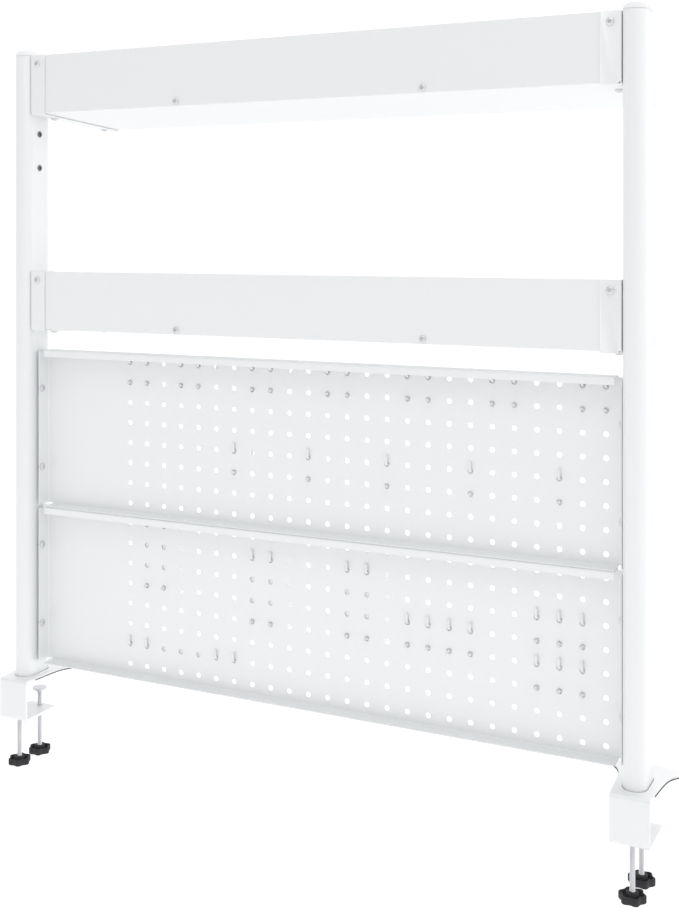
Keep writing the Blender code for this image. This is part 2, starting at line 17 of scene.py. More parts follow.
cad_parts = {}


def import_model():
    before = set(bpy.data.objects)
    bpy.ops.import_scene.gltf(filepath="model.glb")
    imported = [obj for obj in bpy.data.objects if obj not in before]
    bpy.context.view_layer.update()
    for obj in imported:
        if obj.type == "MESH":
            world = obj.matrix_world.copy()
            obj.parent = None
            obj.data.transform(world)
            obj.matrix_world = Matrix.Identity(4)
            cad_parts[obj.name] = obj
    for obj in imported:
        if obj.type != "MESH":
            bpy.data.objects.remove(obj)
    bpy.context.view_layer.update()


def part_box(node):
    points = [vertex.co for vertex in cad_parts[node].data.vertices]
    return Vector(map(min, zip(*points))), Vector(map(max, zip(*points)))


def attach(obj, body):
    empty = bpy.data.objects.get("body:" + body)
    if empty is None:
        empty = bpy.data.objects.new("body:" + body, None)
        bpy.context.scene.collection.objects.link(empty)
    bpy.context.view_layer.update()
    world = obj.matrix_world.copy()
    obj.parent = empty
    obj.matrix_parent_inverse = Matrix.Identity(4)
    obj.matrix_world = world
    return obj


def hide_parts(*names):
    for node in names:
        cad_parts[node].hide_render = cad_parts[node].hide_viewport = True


LOG = logging.getLogger("tool_wall")

GAP = 0.0003
MERGE = 1e-5

X_AXIS = Vector((1, 0, 0))
Y_AXIS = Vector((0, 1, 0))
Z_AXIS = Vector((0, 0, 1))

Pair = tuple[float, float]
Ring = list[Vector]


class Side(Enum):
    """The two ends of the wall, with the sign of X at each."""

    LEFT = 1
    RIGHT = -1

    @property
    def word(self) -> str:
        """The word that node names use."""
        return self.name.lower()


class Slot(Enum):
    """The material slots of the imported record."""

    POWDER = "white_powder_coat"
    HOLDER = "white_holder_coat"
    CAP = "white_cap_plastic"
    ZINC = "zinc_plated_steel"
    BLACK = "black_knob_plastic"


# ------------------------------------------------------------------ node trees


class Graph:
    """A short way to add and join nodes in a tree."""

    def __init__(self, tree: bpy.types.NodeTree) -> None:
        """Keeps the tree that the nodes go into."""
        self.tree = tree

    def add(self, kind: str, inputs: dict | None = None, **settings) -> bpy.types.Node:
        """Adds a node.

        Args:
            kind: Blender's name for the node's type.
            inputs: values or output sockets, by the input's name or number.
            settings: attributes of the node itself.

        Returns:
            The new node.
        """
        node = self.tree.nodes.new(kind)
        for name, value in settings.items():
            setattr(node, name, value)
        for key, value in (inputs or {}).items():
            self.feed(node.inputs[key], value)
        return node

    def feed(self, socket: bpy.types.NodeSocket, value) -> None:
        """Links an output to an input, or sets a plain value on it."""
        if isinstance(value, bpy.types.NodeSocket):
            self.tree.links.new(value, socket)
        else:
            socket.default_value = value

    def maths(self, operation: str, *values) -> bpy.types.NodeSocket:
        """The result of a Math node on some values or sockets."""
        return self.add("ShaderNodeMath", dict(enumerate(values)), operation=operation).outputs[0]

    def span(self, value, low: float, high: float) -> bpy.types.NodeSocket:
        """A value from 0 to 1 moved into a range."""
        inputs = {"Value": value, "To Min": low, "To Max": high}
        return self.add("ShaderNodeMapRange", inputs).outputs["Result"]

    def blend(self, factor, first, second) -> bpy.types.NodeSocket:
        """A mix of two colours."""
        mixer = self.add("ShaderNodeMix", data_type="RGBA")
        for index, value in ((0, factor), (6, first), (7, second)):
            self.feed(mixer.inputs[index], value)
        return mixer.outputs[2]


class Effects:
    """Shader effects that several finishes share, each built once as a node group."""

    @staticmethod
    def group(name: str, inputs: dict[str, float], output: str, build: Callable) -> bpy.types.NodeTree:
        """Makes a group, or finds the one already made.

        Args:
            name: the group's name.
            inputs: the default of each float input, by name.
            output: the name of its one float output.
            build: a function of (graph, input node) that returns the output's socket.

        Returns:
            The node group.
        """
        found = bpy.data.node_groups.get(name)
        if found:
            return found
        tree = bpy.data.node_groups.new(name, "ShaderNodeTree")
        for label, default in inputs.items():
            socket = tree.interface.new_socket(label, in_out="INPUT", socket_type="NodeSocketFloat")
            socket.default_value = default
        tree.interface.new_socket(output, in_out="OUTPUT", socket_type="NodeSocketFloat")
        graph = Graph(tree)
        source = graph.add("NodeGroupInput")
        result = build(graph, source)
        graph.add("NodeGroupOutput", {output: result})
        return tree

    @staticmethod
    def orange_peel() -> bpy.types.NodeTree:
        """The fine pebbled skin of baked powder: a Height from broad swells and small grains."""

        def build(graph: Graph, source: bpy.types.Node) -> bpy.types.NodeSocket:
            place = graph.add("ShaderNodeTexCoord").outputs["Object"]
            swell = graph.add(
                "ShaderNodeTexNoise", {"Vector": place, "Scale": source.outputs["Swell"], "Detail": 2.0}
            )
            grain = graph.add(
                "ShaderNodeTexNoise", {"Vector": place, "Scale": source.outputs["Grain"], "Detail": 3.0}
            )
            share = graph.maths("MULTIPLY", grain.outputs["Fac"], source.outputs["Grain share"])
            return graph.maths("ADD", swell.outputs["Fac"], share)

        sizes = {"Swell": 420.0, "Grain": 2400.0, "Grain share": 0.4}
        return Effects.group("orange_peel", sizes, "Height", build)

    @staticmethod
    def uneven_film() -> bpy.types.NodeTree:
        """Broad, faint unevenness of a coat's thickness and of handling, as a Mask from 0 to 1."""

        def build(graph: Graph, source: bpy.types.Node) -> bpy.types.NodeSocket:
            place = graph.add("ShaderNodeTexCoord").outputs["Object"]
            cloud = graph.add(
                "ShaderNodeTexNoise", {"Vector": place, "Scale": source.outputs["Scale"], "Detail": 4.0}
            )
            low = {"Value": cloud.outputs["Fac"], "From Min": 0.3, "From Max": 0.7}
            return graph.add("ShaderNodeMapRange", low).outputs["Result"]

        return Effects.group("uneven_film", {"Scale": 9.0}, "Mask", build)

    @staticmethod
    def rubbed_edge() -> bpy.types.NodeTree:
        """Where a coat is thin along cut edges, broken up by noise, as a Mask from 0 to 1."""

        def build(graph: Graph, source: bpy.types.Node) -> bpy.types.NodeSocket:
            place = graph.add("ShaderNodeTexCoord").outputs["Object"]
            edge = graph.add("ShaderNodeAttribute", attribute_name="edge").outputs["Fac"]
            patch = graph.add(
                "ShaderNodeTexNoise", {"Vector": place, "Scale": source.outputs["Patch"], "Detail": 3.0}
            )
            broken = graph.add(
                "ShaderNodeMapRange", {"Value": patch.outputs["Fac"], "From Min": 0.35, "From Max": 0.65}
            )
            worn = graph.maths("MULTIPLY", edge, broken.outputs["Result"])
            return graph.maths("MULTIPLY", worn, source.outputs["Amount"])

        return Effects.group("rubbed_edge", {"Patch": 160.0, "Amount": 0.5}, "Mask", build)

    @staticmethod
    def drawn_lines() -> bpy.types.NodeTree:
        """Fine lines round a rolled or turned part, as a Height: noise stretched across Z."""

        def build(graph: Graph, source: bpy.types.Node) -> bpy.types.NodeSocket:
            place = graph.add("ShaderNodeTexCoord").outputs["Object"]
            stretched = graph.add("ShaderNodeMapping", {"Vector": place, "Scale": (1.0, 1.0, 14.0)})
            lines = {"Vector": stretched.outputs[0], "Scale": source.outputs["Scale"], "Detail": 3.0}
            return graph.add("ShaderNodeTexNoise", lines).outputs["Fac"]

        return Effects.group("drawn_lines", {"Scale": 300.0}, "Height", build)


@dataclass(frozen=True)
class Finish:
    """A surface finish that becomes one material.

    Attributes:
        slot: the record's slot that it belongs to.
        colour: the base colour.
        worn: the colour along cut edges.
        roughness: the lowest and highest roughness.
        wear: how much of the edge colour shows.
        bump: the depth of the fine relief, in metres.
    """

    slot: Slot
    colour: tuple[float, float, float]
    worn: tuple[float, float, float]
    roughness: Pair
    wear: float
    bump: float
    metallic: float = 0.0
    coat: float = 0.0
    label: str = ""

    @property
    def name(self) -> str:
        """The material's name."""
        return self.label or self.slot.value

    def relief(self, graph: Graph) -> bpy.types.NodeSocket:
        """The height of the surface's fine relief."""
        peel = graph.add("ShaderNodeGroup", node_tree=Effects.orange_peel())
        return peel.outputs["Height"]

    def material(self) -> bpy.types.Material:
        """Builds the material once, and finds it after that."""
        found = bpy.data.materials.get(self.name)
        if found:
            return found
        made = bpy.data.materials.new(self.name)
        made.use_nodes = True
        graph = Graph(made.node_tree)
        shader = made.node_tree.nodes["Principled BSDF"]
        shader.inputs["Metallic"].default_value = self.metallic
        shader.inputs["Coat Weight"].default_value = self.coat
        film = graph.add("ShaderNodeGroup", node_tree=Effects.uneven_film()).outputs["Mask"]
        edge = graph.add("ShaderNodeGroup", {}, node_tree=Effects.rubbed_edge())
        edge.inputs["Amount"].default_value = self.wear
        tint = tuple(c * 0.975 for c in self.colour)
        base = graph.blend(film, (*self.colour, 1.0), (*tint, 1.0))
        graph.feed(shader.inputs["Base Color"], graph.blend(edge.outputs["Mask"], base, (*self.worn, 1.0)))
        graph.feed(shader.inputs["Roughness"], graph.span(film, *self.roughness))
        bump = graph.add(
            "ShaderNodeBump", {"Height": self.relief(graph), "Distance": self.bump, "Strength": 1.0}
        )
        graph.feed(shader.inputs["Normal"], bump.outputs["Normal"])
        return made


@dataclass(frozen=True)
class PlatedSteel(Finish):
    """Bright zinc over turned or rolled steel, with fine lines in it."""

    def relief(self, graph: Graph) -> bpy.types.NodeSocket:
        """Fine lines round the part."""
        return graph.add("ShaderNodeGroup", node_tree=Effects.drawn_lines()).outputs["Height"]


POWDER = Finish(Slot.POWDER, (0.856, 0.855, 0.852), (0.73, 0.73, 0.73), (0.36, 0.44), 0.5, 1.6e-5)
HOLDER = Finish(Slot.HOLDER, (0.838, 0.837, 0.834), (0.69, 0.69, 0.69), (0.3, 0.4), 0.6, 1.4e-5)
CAP = Finish(Slot.CAP, (0.843, 0.842, 0.839), (0.8, 0.8, 0.8), (0.42, 0.5), 0.3, 1.0e-5)
BLACK = Finish(Slot.BLACK, (0.028, 0.028, 0.029), (0.16, 0.16, 0.16), (0.26, 0.38), 0.8, 3.0e-5, coat=0.5)
# Painted shade: a near-black strip round the edge of each clamp's plate on the desk stands in for the shade along
# that edge.
EDGE_SHADE = Finish(
    Slot.BLACK, (0.025, 0.025, 0.025), (0.05, 0.05, 0.05), (0.5, 0.6), 0.3, 1.0e-5, label="dark_liner"
)
# Painted shade: a grey ring round each post's foot stands in for the shade in the gap where the post meets its clamp.
FOOT_SHADE = Finish(Slot.BLACK, (0.26, 0.26, 0.26), (0.3, 0.3, 0.3), (0.6, 0.75), 0.3, 2.0e-5, label="dark_seal")
ZINC = PlatedSteel(Slot.ZINC, (0.79, 0.79, 0.79), (0.5, 0.5, 0.5), (0.24, 0.34), 0.4, 0.8e-5, metallic=1.0)
SOCKET = PlatedSteel(
    Slot.ZINC, (0.2, 0.2, 0.21), (0.3, 0.3, 0.3), (0.4, 0.5), 0.2, 0.8e-5, metallic=1.0, label="dark_socket"
)


# ------------------------------------------------------------------ outlines and solids


def arc(centre: Pair, radius: float, start: float, end: float, steps: int) -> list[Pair]:
    """Points on an arc, from one angle in degrees to another."""
    angles = [math.radians(start + (end - start) * i / steps) for i in range(steps + 1)]
    return [(centre[0] + radius * math.cos(a), centre[1] + radius * math.sin(a)) for a in angles]


def circle(radius: float, sides: int, centre: Pair = (0.0, 0.0)) -> list[Pair]:
    """Points round a circle."""
    return arc(centre, radius, 0, 360, sides)[:-1]


def rounded(points: Sequence[Vector], radius: float, steps: int = 4, closed: bool = True) -> list[Vector]:
    """A path with an arc at each corner.

    Args:
        points: the corners.
        radius: the arc's radius, cut down where a side is too short for it.
        steps: how many segments each arc has.
        closed: whether the last point joins the first.

    Returns:
        The points of the rounded path.
    """
    result: list[Vector] = []
    count = len(points)
    for i, corner in enumerate(points):
        if not closed and i in (0, count - 1):
            result.append(corner.copy())
            continue
        before, after = points[i - 1] - corner, points[(i + 1) % count] - corner
        turn = before.angle(after)
        reach = min(radius / math.tan(turn / 2), 0.49 * before.length, 0.49 * after.length)
        start, end = corner + before.normalized() * reach, corner + after.normalized() * reach
        centre = corner + (before.normalized() + after.normalized()).normalized() * reach / math.cos(turn / 2)
        first, last = start - centre, end - centre
        other = (last - first.normalized() * last.dot(first.normalized())).normalized() * first.length
        for step in range(steps + 1):
            a = (math.pi - turn) * step / steps
            result.append(centre + first * math.cos(a) + other * math.sin(a))
    return result


def rounded_box(half_x: float, half_y: float, radius: float, steps: int = 5) -> list[Pair]:
    """The outline of a rectangle about the origin with round corners."""
    result: list[Pair] = []
    for quarter, (sx, sy) in enumerate(((1, 1), (-1, 1), (-1, -1), (1, -1))):
        centre = (sx * (half_x - radius), sy * (half_y - radius))
        result += arc(centre, radius, 90 * quarter, 90 * quarter + 90, steps)
    return result


def ring(outline: Iterable[Pair], z: float) -> Ring:
    """An outline at a height."""
    return [Vector((x, y, z)) for x, y in outline]


def loft(
    shape: bmesh.types.BMesh, rings: Sequence[Sequence[Vector]], caps: tuple[bool, bool] = (True, True)
) -> None:
    """Adds a skin through rings of equal length, with a face over either end."""
    loops = [[shape.verts.new(p) for p in r] for r in rings]
    count = len(loops[0])
    for low, high in zip(loops, loops[1:]):
        for i in range(count):
            j = (i + 1) % count
            shape.faces.new((low[i], low[j], high[j], high[i]))
    if caps[0]:
        shape.faces.new(loops[0][::-1])
    if caps[1]:
        shape.faces.new(loops[-1])


def turned(shape: bmesh.types.BMesh, profile: Sequence[Pair], sides: int, spin: Matrix | None = None) -> None:
    """Adds a solid turned about Z from (radius, height) pairs, then placed by a matrix."""
    place = spin or Matrix.Identity(4)
    loft(shape, [[place @ v for v in ring(circle(r, sides), z)] for r, z in profile])


def wire(
    shape: bmesh.types.BMesh, corners: Sequence[Vector], diameter: float, bend: float, sides: int = 14
) -> None:
    """Adds a round wire with rounded bends and domed ends.

    Args:
        shape: what it is added to.
        corners: the corners of its centre line.
        diameter: the wire's diameter.
        bend: the radius of each bend.
        sides: how many sides the wire has.
    """
    path = rounded(corners, bend, 6, closed=False)
    radius = diameter / 2
    first, last = (path[1] - path[0]).normalized(), (path[-1] - path[-2]).normalized()
    side = first.orthogonal().normalized()
    stations: list[tuple[Vector, Vector, float]] = []
    for angle in (10, 35, 60):
        a = math.radians(angle)
        stations.append((path[0] + first * radius * (1 - math.cos(math.pi / 2 - a)), first, radius * math.sin(a)))
    for i in range(1, len(path) - 1):
        stations.append((path[i], (path[i + 1] - path[i - 1]).normalized(), radius))
    if len(path) == 2:
        stations += [(path[0] + first * radius, first, radius), (path[1] - first * radius, first, radius)]
    for angle in (60, 35, 10):
        a = math.radians(angle)
        stations.append((path[-1] - last * radius * (1 - math.cos(math.pi / 2 - a)), last, radius * math.sin(a)))
    rings = []
    for point, tangent, size in stations:
        side = (side - tangent * side.dot(tangent)).normalized()
        other = tangent.cross(side)
        rings.append([point + side * size * c + other * size * s for c, s in circle(1.0, sides)])
    loft(shape, rings)


def outward(shape: bmesh.types.BMesh) -> bmesh.types.BMesh:
    """The same closed shells with their faces turned outwards."""
    bmesh.ops.recalc_face_normals(shape, faces=shape.faces)
    return shape


def as_mesh(shape: bmesh.types.BMesh, smooth: float = 40.0) -> bpy.types.Mesh:
    """A mesh from a shape, smooth where faces meet under an angle in degrees."""
    mesh = bpy.data.meshes.new("piece")
    shape.to_mesh(mesh)
    shape.free()
    mesh.shade_smooth()
    mesh.set_sharp_from_angle(angle=math.radians(smooth))
    return mesh


def applied(mesh: bpy.types.Mesh, *steps: tuple[str, dict]) -> bpy.types.Mesh:
    """A mesh with modifiers applied to it.

    Args:
        mesh: the mesh to work on.
        steps: a modifier's type and its settings, in order.

    Returns:
        A new plain mesh.
    """
    body = bpy.data.objects.new("work", mesh)
    bpy.context.scene.collection.objects.link(body)
    for kind, settings in steps:
        modifier = body.modifiers.new(kind.lower(), kind)
        for name, value in settings.items():
            setattr(modifier, name, value)
    graph = bpy.context.evaluated_depsgraph_get()
    made = bpy.data.meshes.new_from_object(
        body.evaluated_get(graph), preserve_all_data_layers=True, depsgraph=graph
    )
    bpy.data.objects.remove(body, do_unlink=True)
    return made


def eased(mesh: bpy.types.Mesh, width: float, segments: int = 2, angle: float = 38.0) -> bpy.types.Mesh:
    """A mesh with its sharp edges rounded, and those roundings marked in the face attribute "edge"."""
    while len(mesh.materials) < 2:
        mesh.materials.append(None)
    bevel = {
        "width": width,
        "segments": segments,
        "limit_method": "ANGLE",
        "angle_limit": math.radians(angle),
        "use_clamp_overlap": True,
        "material": 1,
    }
    made = applied(mesh, ("BEVEL", bevel), ("WEIGHTED_NORMAL", {"weight": 95, "keep_sharp": False}))
    marks = [float(p.material_index == 1) for p in made.polygons]
    for polygon in made.polygons:
        polygon.material_index = 0
    made.attributes.new("edge", "FLOAT", "FACE").data.foreach_set("value", marks)
    made.materials.clear()
    return made


def cut(mesh: bpy.types.Mesh, tools: Sequence[bpy.types.Mesh]) -> bpy.types.Mesh:
    """A mesh with others taken out of it."""
    cutters = []
    for tool in tools:
        cutter = bpy.data.objects.new("cutter", tool)
        bpy.context.scene.collection.objects.link(cutter)
        cutters.append(cutter)
    made = applied(mesh, *[("BOOLEAN", {"operation": "DIFFERENCE", "object": c}) for c in cutters])
    for cutter in cutters:
        bpy.data.objects.remove(cutter, do_unlink=True)
    return made


class SheetPart:
    """A folded sheet, drawn as its outer skin and then given its thickness inwards."""

    def __init__(self, thickness: float, facing: Vector) -> None:
        """Starts an empty skin.

        Args:
            thickness: the sheet's thickness.
            facing: which way the skin's largest face looks.
        """
        self.thickness = thickness
        self.facing = facing
        self.skin = bmesh.new()

    def include(self, mesh: bpy.types.Mesh) -> None:
        """Adds a ready part of the skin."""
        self.skin.from_mesh(mesh)

    def quad_grid(
        self, place: Callable[[float, float], Vector], us: Sequence[float], vs: Sequence[float]
    ) -> None:
        """Adds rectangles between two lists of stations."""
        rows = [[self.skin.verts.new(place(u, v)) for u in us] for v in vs]
        for low, high in zip(rows, rows[1:]):
            for i in range(len(us) - 1):
                self.skin.faces.new((low[i], low[i + 1], high[i + 1], high[i]))

    def flat(self, outline: Sequence[Vector], holes: Sequence[Sequence[Vector]] = ()) -> None:
        """Adds a flat face with holes in it."""
        shape = bmesh.new()
        for line in (outline, *holes):
            loop = [shape.verts.new(p) for p in line]
            for a, b in zip(loop, loop[1:] + loop[:1]):
                shape.edges.new((a, b))
        if holes:
            bmesh.ops.triangle_fill(shape, use_beauty=True, use_dissolve=False, edges=shape.edges)
        else:
            shape.faces.new(shape.verts)
        mesh = bpy.data.meshes.new("flat")
        shape.to_mesh(mesh)
        shape.free()
        self.include(mesh)

    def bend(
        self, line: Sequence[Vector], ahead: Vector, across: Vector, radius: float, steps: int = 6
    ) -> list[Vector]:
        """Adds a right-angled bend along a line.

        Args:
            line: the points where the bend starts.
            ahead: the direction in which the sheet reaches the bend.
            across: the direction in which it leaves.
            radius: the outer radius.
            steps: how many segments the bend has.

        Returns:
            The points where the bend ends.
        """
        rows = []
        for step in range(steps + 1):
            a = math.pi / 2 * step / steps
            shift = ahead * radius * math.sin(a) + across * radius * (1 - math.cos(a))
            rows.append([self.skin.verts.new(p + shift) for p in line])
        for low, high in zip(rows, rows[1:]):
            for i in range(len(line) - 1):
                self.skin.faces.new((low[i], low[i + 1], high[i + 1], high[i]))
        return [v.co.copy() for v in rows[-1]]

    def run(self, line: Sequence[Vector], along: Vector, length: float) -> list[Vector]:
        """Adds a flat stretch from a line, and returns the line at its end."""
        far = [p + along * length for p in line]
        low, high = [self.skin.verts.new(p) for p in line], [self.skin.verts.new(p) for p in far]
        for i in range(len(line) - 1):
            self.skin.faces.new((low[i], low[i + 1], high[i + 1], high[i]))
        return far

    def solid(self, ease: float = 0.0002, segments: int = 1) -> bpy.types.Mesh:
        """The finished sheet, with its thickness and eased edges."""
        bmesh.ops.remove_doubles(self.skin, verts=self.skin.verts, dist=MERGE)
        bmesh.ops.recalc_face_normals(self.skin, faces=self.skin.faces)
        largest = max(self.skin.faces, key=lambda f: f.calc_area())
        if largest.normal.dot(self.facing) < 0:
            bmesh.ops.reverse_faces(self.skin, faces=self.skin.faces)
        thick = {
            "thickness": self.thickness,
            "offset": -1.0,
            "use_even_offset": True,
            "use_quality_normals": True,
        }
        solid = applied(as_mesh(self.skin), ("SOLIDIFY", thick))
        return eased(solid, ease, segments)


# ------------------------------------------------------------------ repeats


class Repeats:
    """Geometry Nodes trees for what repeats, and the steps that turn their result into plain meshes."""

    @staticmethod
    def new_tree(name: str, sockets: Sequence[tuple[str, str]]) -> tuple[Graph, bpy.types.Node]:
        """Starts a tree with a geometry going in and out, and some named inputs."""
        tree = bpy.data.node_groups.new(name, "GeometryNodeTree")
        tree.interface.new_socket("Geometry", in_out="INPUT", socket_type="NodeSocketGeometry")
        for label, kind in sockets:
            tree.interface.new_socket(label, in_out="INPUT", socket_type=kind)
        tree.interface.new_socket("Geometry", in_out="OUTPUT", socket_type="NodeSocketGeometry")
        graph = Graph(tree)
        return graph, graph.add("NodeGroupInput")

    @staticmethod
    def close(graph: Graph, instances: bpy.types.NodeSocket, material: bpy.types.NodeSocket) -> None:
        """Ends a tree in real geometry with its material."""
        real = graph.add("GeometryNodeRealizeInstances", {"Geometry": instances}).outputs[0]
        painted = graph.add("GeometryNodeSetMaterial", {"Geometry": real, "Material": material}).outputs[0]
        graph.add("NodeGroupOutput", {"Geometry": painted})

    @staticmethod
    def field_tree() -> bpy.types.NodeTree:
        """Copies of a cell on a flat grid in the plane of X and Z."""
        found = bpy.data.node_groups.get("hole_field")
        if found:
            return found
        sockets = [
            ("Columns", "NodeSocketInt"),
            ("Rows", "NodeSocketInt"),
            ("Pitch", "NodeSocketFloat"),
            ("Centre", "NodeSocketVector"),
            ("Material", "NodeSocketMaterial"),
        ]
        graph, source = Repeats.new_tree("hole_field", sockets)
        pitch = source.outputs["Pitch"]
        width = graph.maths("MULTIPLY", graph.maths("SUBTRACT", source.outputs["Columns"], 1.0), pitch)
        height = graph.maths("MULTIPLY", graph.maths("SUBTRACT", source.outputs["Rows"], 1.0), pitch)
        sizes = {"Size X": width, "Size Y": height, "Vertices X": source.outputs["Columns"]}
        grid = graph.add(
            "GeometryNodeMeshGrid", {**sizes, "Vertices Y": source.outputs["Rows"]}
        ).outputs["Mesh"]
        upright = {
            "Geometry": grid,
            "Translation": source.outputs["Centre"],
            "Rotation": (math.pi / 2, 0.0, 0.0),
        }
        points = graph.add("GeometryNodeTransform", upright).outputs[0]
        cells = {"Points": points, "Instance": source.outputs["Geometry"]}
        copies = graph.add("GeometryNodeInstanceOnPoints", cells).outputs[0]
        Repeats.close(graph, copies, source.outputs["Material"])
        return graph.tree

    @staticmethod
    def fastener_tree() -> bpy.types.NodeTree:
        """Copies of a fastener on points, each along the point's "facing" and at its own turn."""
        found = bpy.data.node_groups.get("fasteners")
        if found:
            return found
        sockets = [
            ("Fastener", "NodeSocketObject"),
            ("Seed", "NodeSocketInt"),
            ("Material", "NodeSocketMaterial"),
        ]
        graph, source = Repeats.new_tree("fasteners", sockets)
        facing = graph.add("GeometryNodeInputNamedAttribute", {"Name": "facing"}, data_type="FLOAT_VECTOR")
        turn = graph.add("FunctionNodeAlignRotationToVector", {"Vector": facing.outputs["Attribute"]}, axis="Z")
        shape = graph.add("GeometryNodeObjectInfo", {"Object": source.outputs["Fastener"]}).outputs["Geometry"]
        placed = {"Points": source.outputs["Geometry"], "Instance": shape, "Rotation": turn.outputs["Rotation"]}
        copies = graph.add("GeometryNodeInstanceOnPoints", placed).outputs[0]
        chance = graph.add("FunctionNodeRandomValue", {"Seed": source.outputs["Seed"]}, data_type="FLOAT")
        angle = graph.maths("MULTIPLY", chance.outputs["Value"], math.tau)
        spin = graph.add("ShaderNodeCombineXYZ", {"Z": angle}).outputs[0]
        turned_copies = graph.add(
            "GeometryNodeRotateInstances", {"Instances": copies, "Rotation": spin}
        ).outputs[0]
        Repeats.close(graph, turned_copies, source.outputs["Material"])
        return graph.tree

    @staticmethod
    def run(mesh: bpy.types.Mesh, tree: bpy.types.NodeTree, values: dict) -> bpy.types.Mesh:
        """Runs a tree on a mesh and returns the plain result.

        Args:
            mesh: what the tree takes in.
            tree: the tree.
            values: its inputs, by name.

        Returns:
            A new mesh with no instances in it.
        """
        carrier = bpy.data.objects.new("carrier", mesh)
        bpy.context.scene.collection.objects.link(carrier)
        modifier = carrier.modifiers.new("repeat", "NODES")
        modifier.node_group = tree
        names = {s.name: s.identifier for s in tree.interface.items_tree if getattr(s, "in_out", "") == "INPUT"}
        for name, value in values.items():
            modifier[names[name]] = value
        graph = bpy.context.evaluated_depsgraph_get()
        made = bpy.data.meshes.new_from_object(
            carrier.evaluated_get(graph), preserve_all_data_layers=True, depsgraph=graph
        )
        bpy.data.objects.remove(carrier, do_unlink=True)
        return made


@dataclass(frozen=True)
class Spot:
    """Where a fastener sits: its seat, and which way its head looks."""

    seat: Vector
    facing: Vector


def fastened(fastener: bpy.types.Mesh, spots: Sequence[Spot], look: Finish, seed: int) -> bpy.types.Mesh:
    """Copies of a fastener at some spots, as one mesh."""
    points = bpy.data.meshes.new("spots")
    points.from_pydata([s.seat for s in spots], [], [])
    facing = points.attributes.new("facing", "FLOAT_VECTOR", "POINT")
    facing.data.foreach_set("vector", [c for s in spots for c in s.facing])
    model = bpy.data.objects.new("fastener", fastener)
    values = {"Fastener": model, "Seed": seed, "Material": look.material()}
    made = Repeats.run(points, Repeats.fastener_tree(), values)
    bpy.data.objects.remove(model, do_unlink=True)
    return made


# ------------------------------------------------------------------ pieces


def piece(
    name: str, mesh: bpy.types.Mesh, look: Finish, body: str = "root", nodes: Sequence[str] = ()
) -> None:
    """Puts a finished mesh in the scene.

    Args:
        name: the piece's name.
        mesh: its mesh, in place.
        look: its finish.
        body: the body that it rides on.
        nodes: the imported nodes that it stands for.
    """
    mesh.name = name
    mesh.materials.clear()
    mesh.materials.append(look.material())
    made = bpy.data.objects.new(name, mesh)
    bpy.context.scene.collection.objects.link(made)
    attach(made, body)
    if nodes:
        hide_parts(*nodes)
    LOG.info("%s: %d faces on %s", name, len(mesh.polygons), body)


def at(mesh: bpy.types.Mesh, place: Matrix) -> bpy.types.Mesh:
    """A copy of a mesh in another place, with its faces still outwards."""
    copy = mesh.copy()
    copy.transform(place)
    if place.determinant() < 0:
        copy.flip_normals()
    return copy


@dataclass
class Fastener:
    """A pan-head screw with a cross recess, standing on Z = 0 and pointing down."""

    head: float = 0.0085
    height: float = 0.0026
    shank: float = 0.0045
    length: float = 0.008
    recess: float = 0.0013
    sides: int = 24

    def mesh(self) -> bpy.types.Mesh:
        """Builds the screw, with a real cross cut into its head."""
        shape = bmesh.new()
        radius = self.head / 2
        dome = [
            (radius * math.cos(a), self.height * (0.35 + 0.65 * math.sin(a)))
            for a in (0.0, 0.35, 0.7, 1.05, 1.35)
        ]
        shank = [
            (self.shank / 2 * 0.6, -self.length),
            (self.shank / 2, -self.length + 0.0008),
            (self.shank / 2, 0.0),
        ]
        turned(shape, shank + [(radius, 0.0)] + dome, self.sides)
        head = as_mesh(outward(shape), 50)
        arm, width, top = self.head * 0.3, self.head * 0.075, self.height * 1.2
        tools = []
        for x, y in ((arm, width), (width, arm)):
            slot = bmesh.new()
            low, high = self.height - self.recess, top
            loft(slot, [ring(rounded_box(x * s, y * s, width * 0.4, 2), z) for s, z in ((0.6, low), (1.05, high))])
            tools.append(as_mesh(outward(slot)))
        made = cut(head, tools)
        made.shade_smooth()
        made.set_sharp_from_angle(angle=math.radians(42))
        return made


@dataclass
class SocketScrew:
    """A flush screw in a pressed nut: a thin collar with a hexagon socket, standing on Z = 0."""

    collar: float = 0.0082
    rise: float = 0.0009
    socket: float = 0.0034
    depth: float = 0.0030

    def mesh(self) -> bpy.types.Mesh:
        """Builds the collar with its socket sunk through it."""
        shape = bmesh.new()
        radius = self.collar / 2
        profile = [(radius * 0.6, -self.depth * 1.5), (radius * 0.6, 0.0), (radius, 0.0), (radius, self.rise * 0.5)]
        turned(shape, profile + [(radius * 0.9, self.rise)], 24)
        tool = bmesh.new()
        bore = self.socket / 2
        loft(tool, [ring(circle(bore, 6), -self.depth), ring(circle(bore, 6), self.rise * 2)])
        made = cut(as_mesh(outward(shape)), [as_mesh(outward(tool))])
        made.shade_smooth()
        made.set_sharp_from_angle(angle=math.radians(35))
        return made


